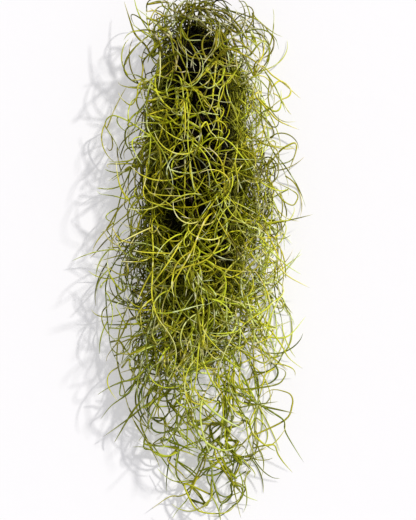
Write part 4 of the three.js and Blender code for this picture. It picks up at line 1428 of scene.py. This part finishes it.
class MOSS_OT_festoons(bpy.types.Operator):
    """Adds a piece for each festoon: its own stem and leaves, and the fine shoots round it"""

    bl_idname = "moss.festoons"
    bl_label = "Festoons"

    def execute(self, context):
        settings = context.scene.moss
        material = living_finish(settings)
        festoons = grow_festoons()[0]
        strays = grow_strays(festoons)
        for number, festoon in enumerate(festoons):
            tier = festoon["tier"]
            draw = Draws(SHOOT_SEED + number)
            threads = [Thread(festoon["stem"], STEM_PARTS, FINE_STEM, draw())]
            for path in festoon["leaves"]:
                threads.append(Thread(path, STEM_PARTS, FINE_LEAF, draw(), sheath=OWN_SHEATH))
            for path, tones in strays[number]:
                radius = draw.between(*STRAY_RADIUS)
                threads.append(Thread(path, LOOP_PARTS, radius, draw.between(*tones)))
            facing = max(math.cos(festoon["angle"] - math.radians(BARE_ANGLE)), 0)
            shoots = tier["shoots"] * (1 - tier["bare"] * facing**2)
            shoots *= 1 - LEFT_SHARE * math.cos(festoon["angle"])
            for _ in range(round(shoots * settings.fullness)):
                threads += grow_shoot(draw, festoon)
            if number == RISER_FESTOON:
                for _ in range(RISERS):
                    threads += grow_riser(draw)
            name = f"{tier['name']}_shoots_{festoon['k']}"
            node = f"{tier['name']}_festoon_{festoon['k']}"
            make_threads(name, threads, settings.thickness, material, node, LIVING_SIDES)
        return {"FINISHED"}


class MOSS_OT_stage(bpy.types.Operator):
    """Adds the floor, the lights and the camera"""

    bl_idname = "moss.stage"
    bl_label = "Stage"

    def execute(self, context):
        settings = context.scene.moss_stage
        make_floor(settings)
        make_lights(context.scene, settings)
        make_camera(context.scene, settings)
        return {"FINISHED"}


class MOSS_PT_panel(bpy.types.Panel):
    """Lists the bunch's pieces, its settings and its stage"""

    bl_idname = "MOSS_PT_panel"
    bl_label = "Spanish moss"
    bl_space_type = "VIEW_3D"
    bl_region_type = "UI"
    bl_category = "Moss"

    def draw(self, context):
        column = self.layout.column()
        for settings in (context.scene.moss, context.scene.moss_stage):
            for key in settings.__annotations__:
                column.prop(settings, key)
        for operator in OPERATORS:
            column.operator(operator.bl_idname)


# The core's near black is partly painted shade of the bunch's deep inside
def make_core(material):
    """The heart's dark core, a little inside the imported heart's surface."""
    top, tail = HEART[0][0], HEART[-1][0]
    shape = bmesh.new()
    widest = max(half_width for _, _, half_width in HEART)
    around = round(2 * math.pi * widest / CORE_FINENESS)
    along = round((top - tail) / CORE_FINENESS)
    bmesh.ops.create_uvsphere(shape, u_segments=around, v_segments=along, radius=1)
    for vert in shape.verts:
        y = tail + (top - tail) * (vert.co.z + 1) / 2
        place = heart_place(y, math.atan2(vert.co.y, vert.co.x))
        middle, half_width = row_at(HEART, y)
        centre = Vector((middle, y, HEART_MIDDLE_Z))
        inset = CORE_INSET + (CORE_END_INSET - CORE_INSET) * open_at(y)
        share = max(half_width - inset, 0) / max(half_width, 1)
        vert.co = centre.lerp(place, share) * MM
        vert.co.z = max(vert.co.z, 0)
    bmesh.ops.remove_doubles(shape, verts=shape.verts, dist=CORE_WELD)
    bmesh.ops.recalc_face_normals(shape, faces=shape.faces)
    mesh = bpy.data.meshes.new("heart_core")
    shape.to_mesh(mesh)
    shape.free()
    mesh.shade_smooth()
    make_piece("heart_core", mesh, material, "heart")


def make_floor(settings):
    shape = bmesh.new()
    bmesh.ops.create_grid(shape, x_segments=1, y_segments=1, size=settings.floor_size / 2)
    mesh = bpy.data.meshes.new("floor")
    shape.to_mesh(mesh)
    shape.free()
    s = Shader("floor")
    plain = opaque(settings.floor)
    grain = s.noise(s.node("TexCoord", output="Object"), FLOOR_GRAIN)
    colour = s.mix(grain * FLOOR_GRAIN_SHARE, plain, opaque(FLOOR_GRAIN_COLOUR))
    roughness = s.level(grain, *FLOOR_ROUGHNESS)
    glow = {"Emission Color": plain, "Emission Strength": settings.glow}
    mesh.materials.append(s.finish(colour, roughness, grain, FLOOR_RELIEF, glow))
    floor = bpy.data.objects.new("floor", mesh)
    bpy.context.scene.collection.objects.link(floor)


def make_lights(scene, settings):
    world = bpy.data.worlds.new("studio")
    world.use_nodes = True
    background = world.node_tree.nodes["Background"]
    background.inputs["Color"].default_value = opaque(FILL_COLOUR)
    background.inputs["Strength"].default_value = settings.fill
    scene.world = world
    sun = bpy.data.lights.new("key", "SUN")
    sun.energy = settings.key
    sun.color = KEY_COLOUR
    sun.angle = settings.softness
    key = bpy.data.objects.new("key", sun)
    key.rotation_mode = "QUATERNION"
    key.rotation_quaternion = Vector(KEY_FROM).to_track_quat("Z", "Y")
    scene.collection.objects.link(key)
    scene.view_settings.view_transform = "Standard"


def make_camera(scene, settings):
    """Straight over the bunch, at the picture's scale on the plane through its middle."""
    lens = bpy.data.cameras.new("camera")
    lens.lens = settings.lens
    camera = bpy.data.objects.new("camera", lens)
    lens.sensor_width = SENSOR
    height = FRAME_HEIGHT * settings.lens / SENSOR
    camera.location = Vector((FRAME_MIDDLE_X, 0, FRAME_PLANE + height)) * MM
    scene.collection.objects.link(camera)
    scene.camera = camera


OPERATORS = (MOSS_OT_heart, MOSS_OT_festoons, MOSS_OT_stage)
CLASSES = (MossSettings, StageSettings, *OPERATORS, MOSS_PT_panel)


def register():
    for each in CLASSES:
        bpy.utils.register_class(each)
    bpy.types.Scene.moss = bpy.props.PointerProperty(type=MossSettings)
    bpy.types.Scene.moss_stage = bpy.props.PointerProperty(type=StageSettings)


def unregister():
    del bpy.types.Scene.moss_stage
    del bpy.types.Scene.moss
    for each in reversed(CLASSES):
        bpy.utils.unregister_class(each)


def main():
    register()
    bpy.ops.moss.heart()
    bpy.ops.moss.festoons()
    bpy.ops.moss.stage()


if __name__ == "__main__":
    main()
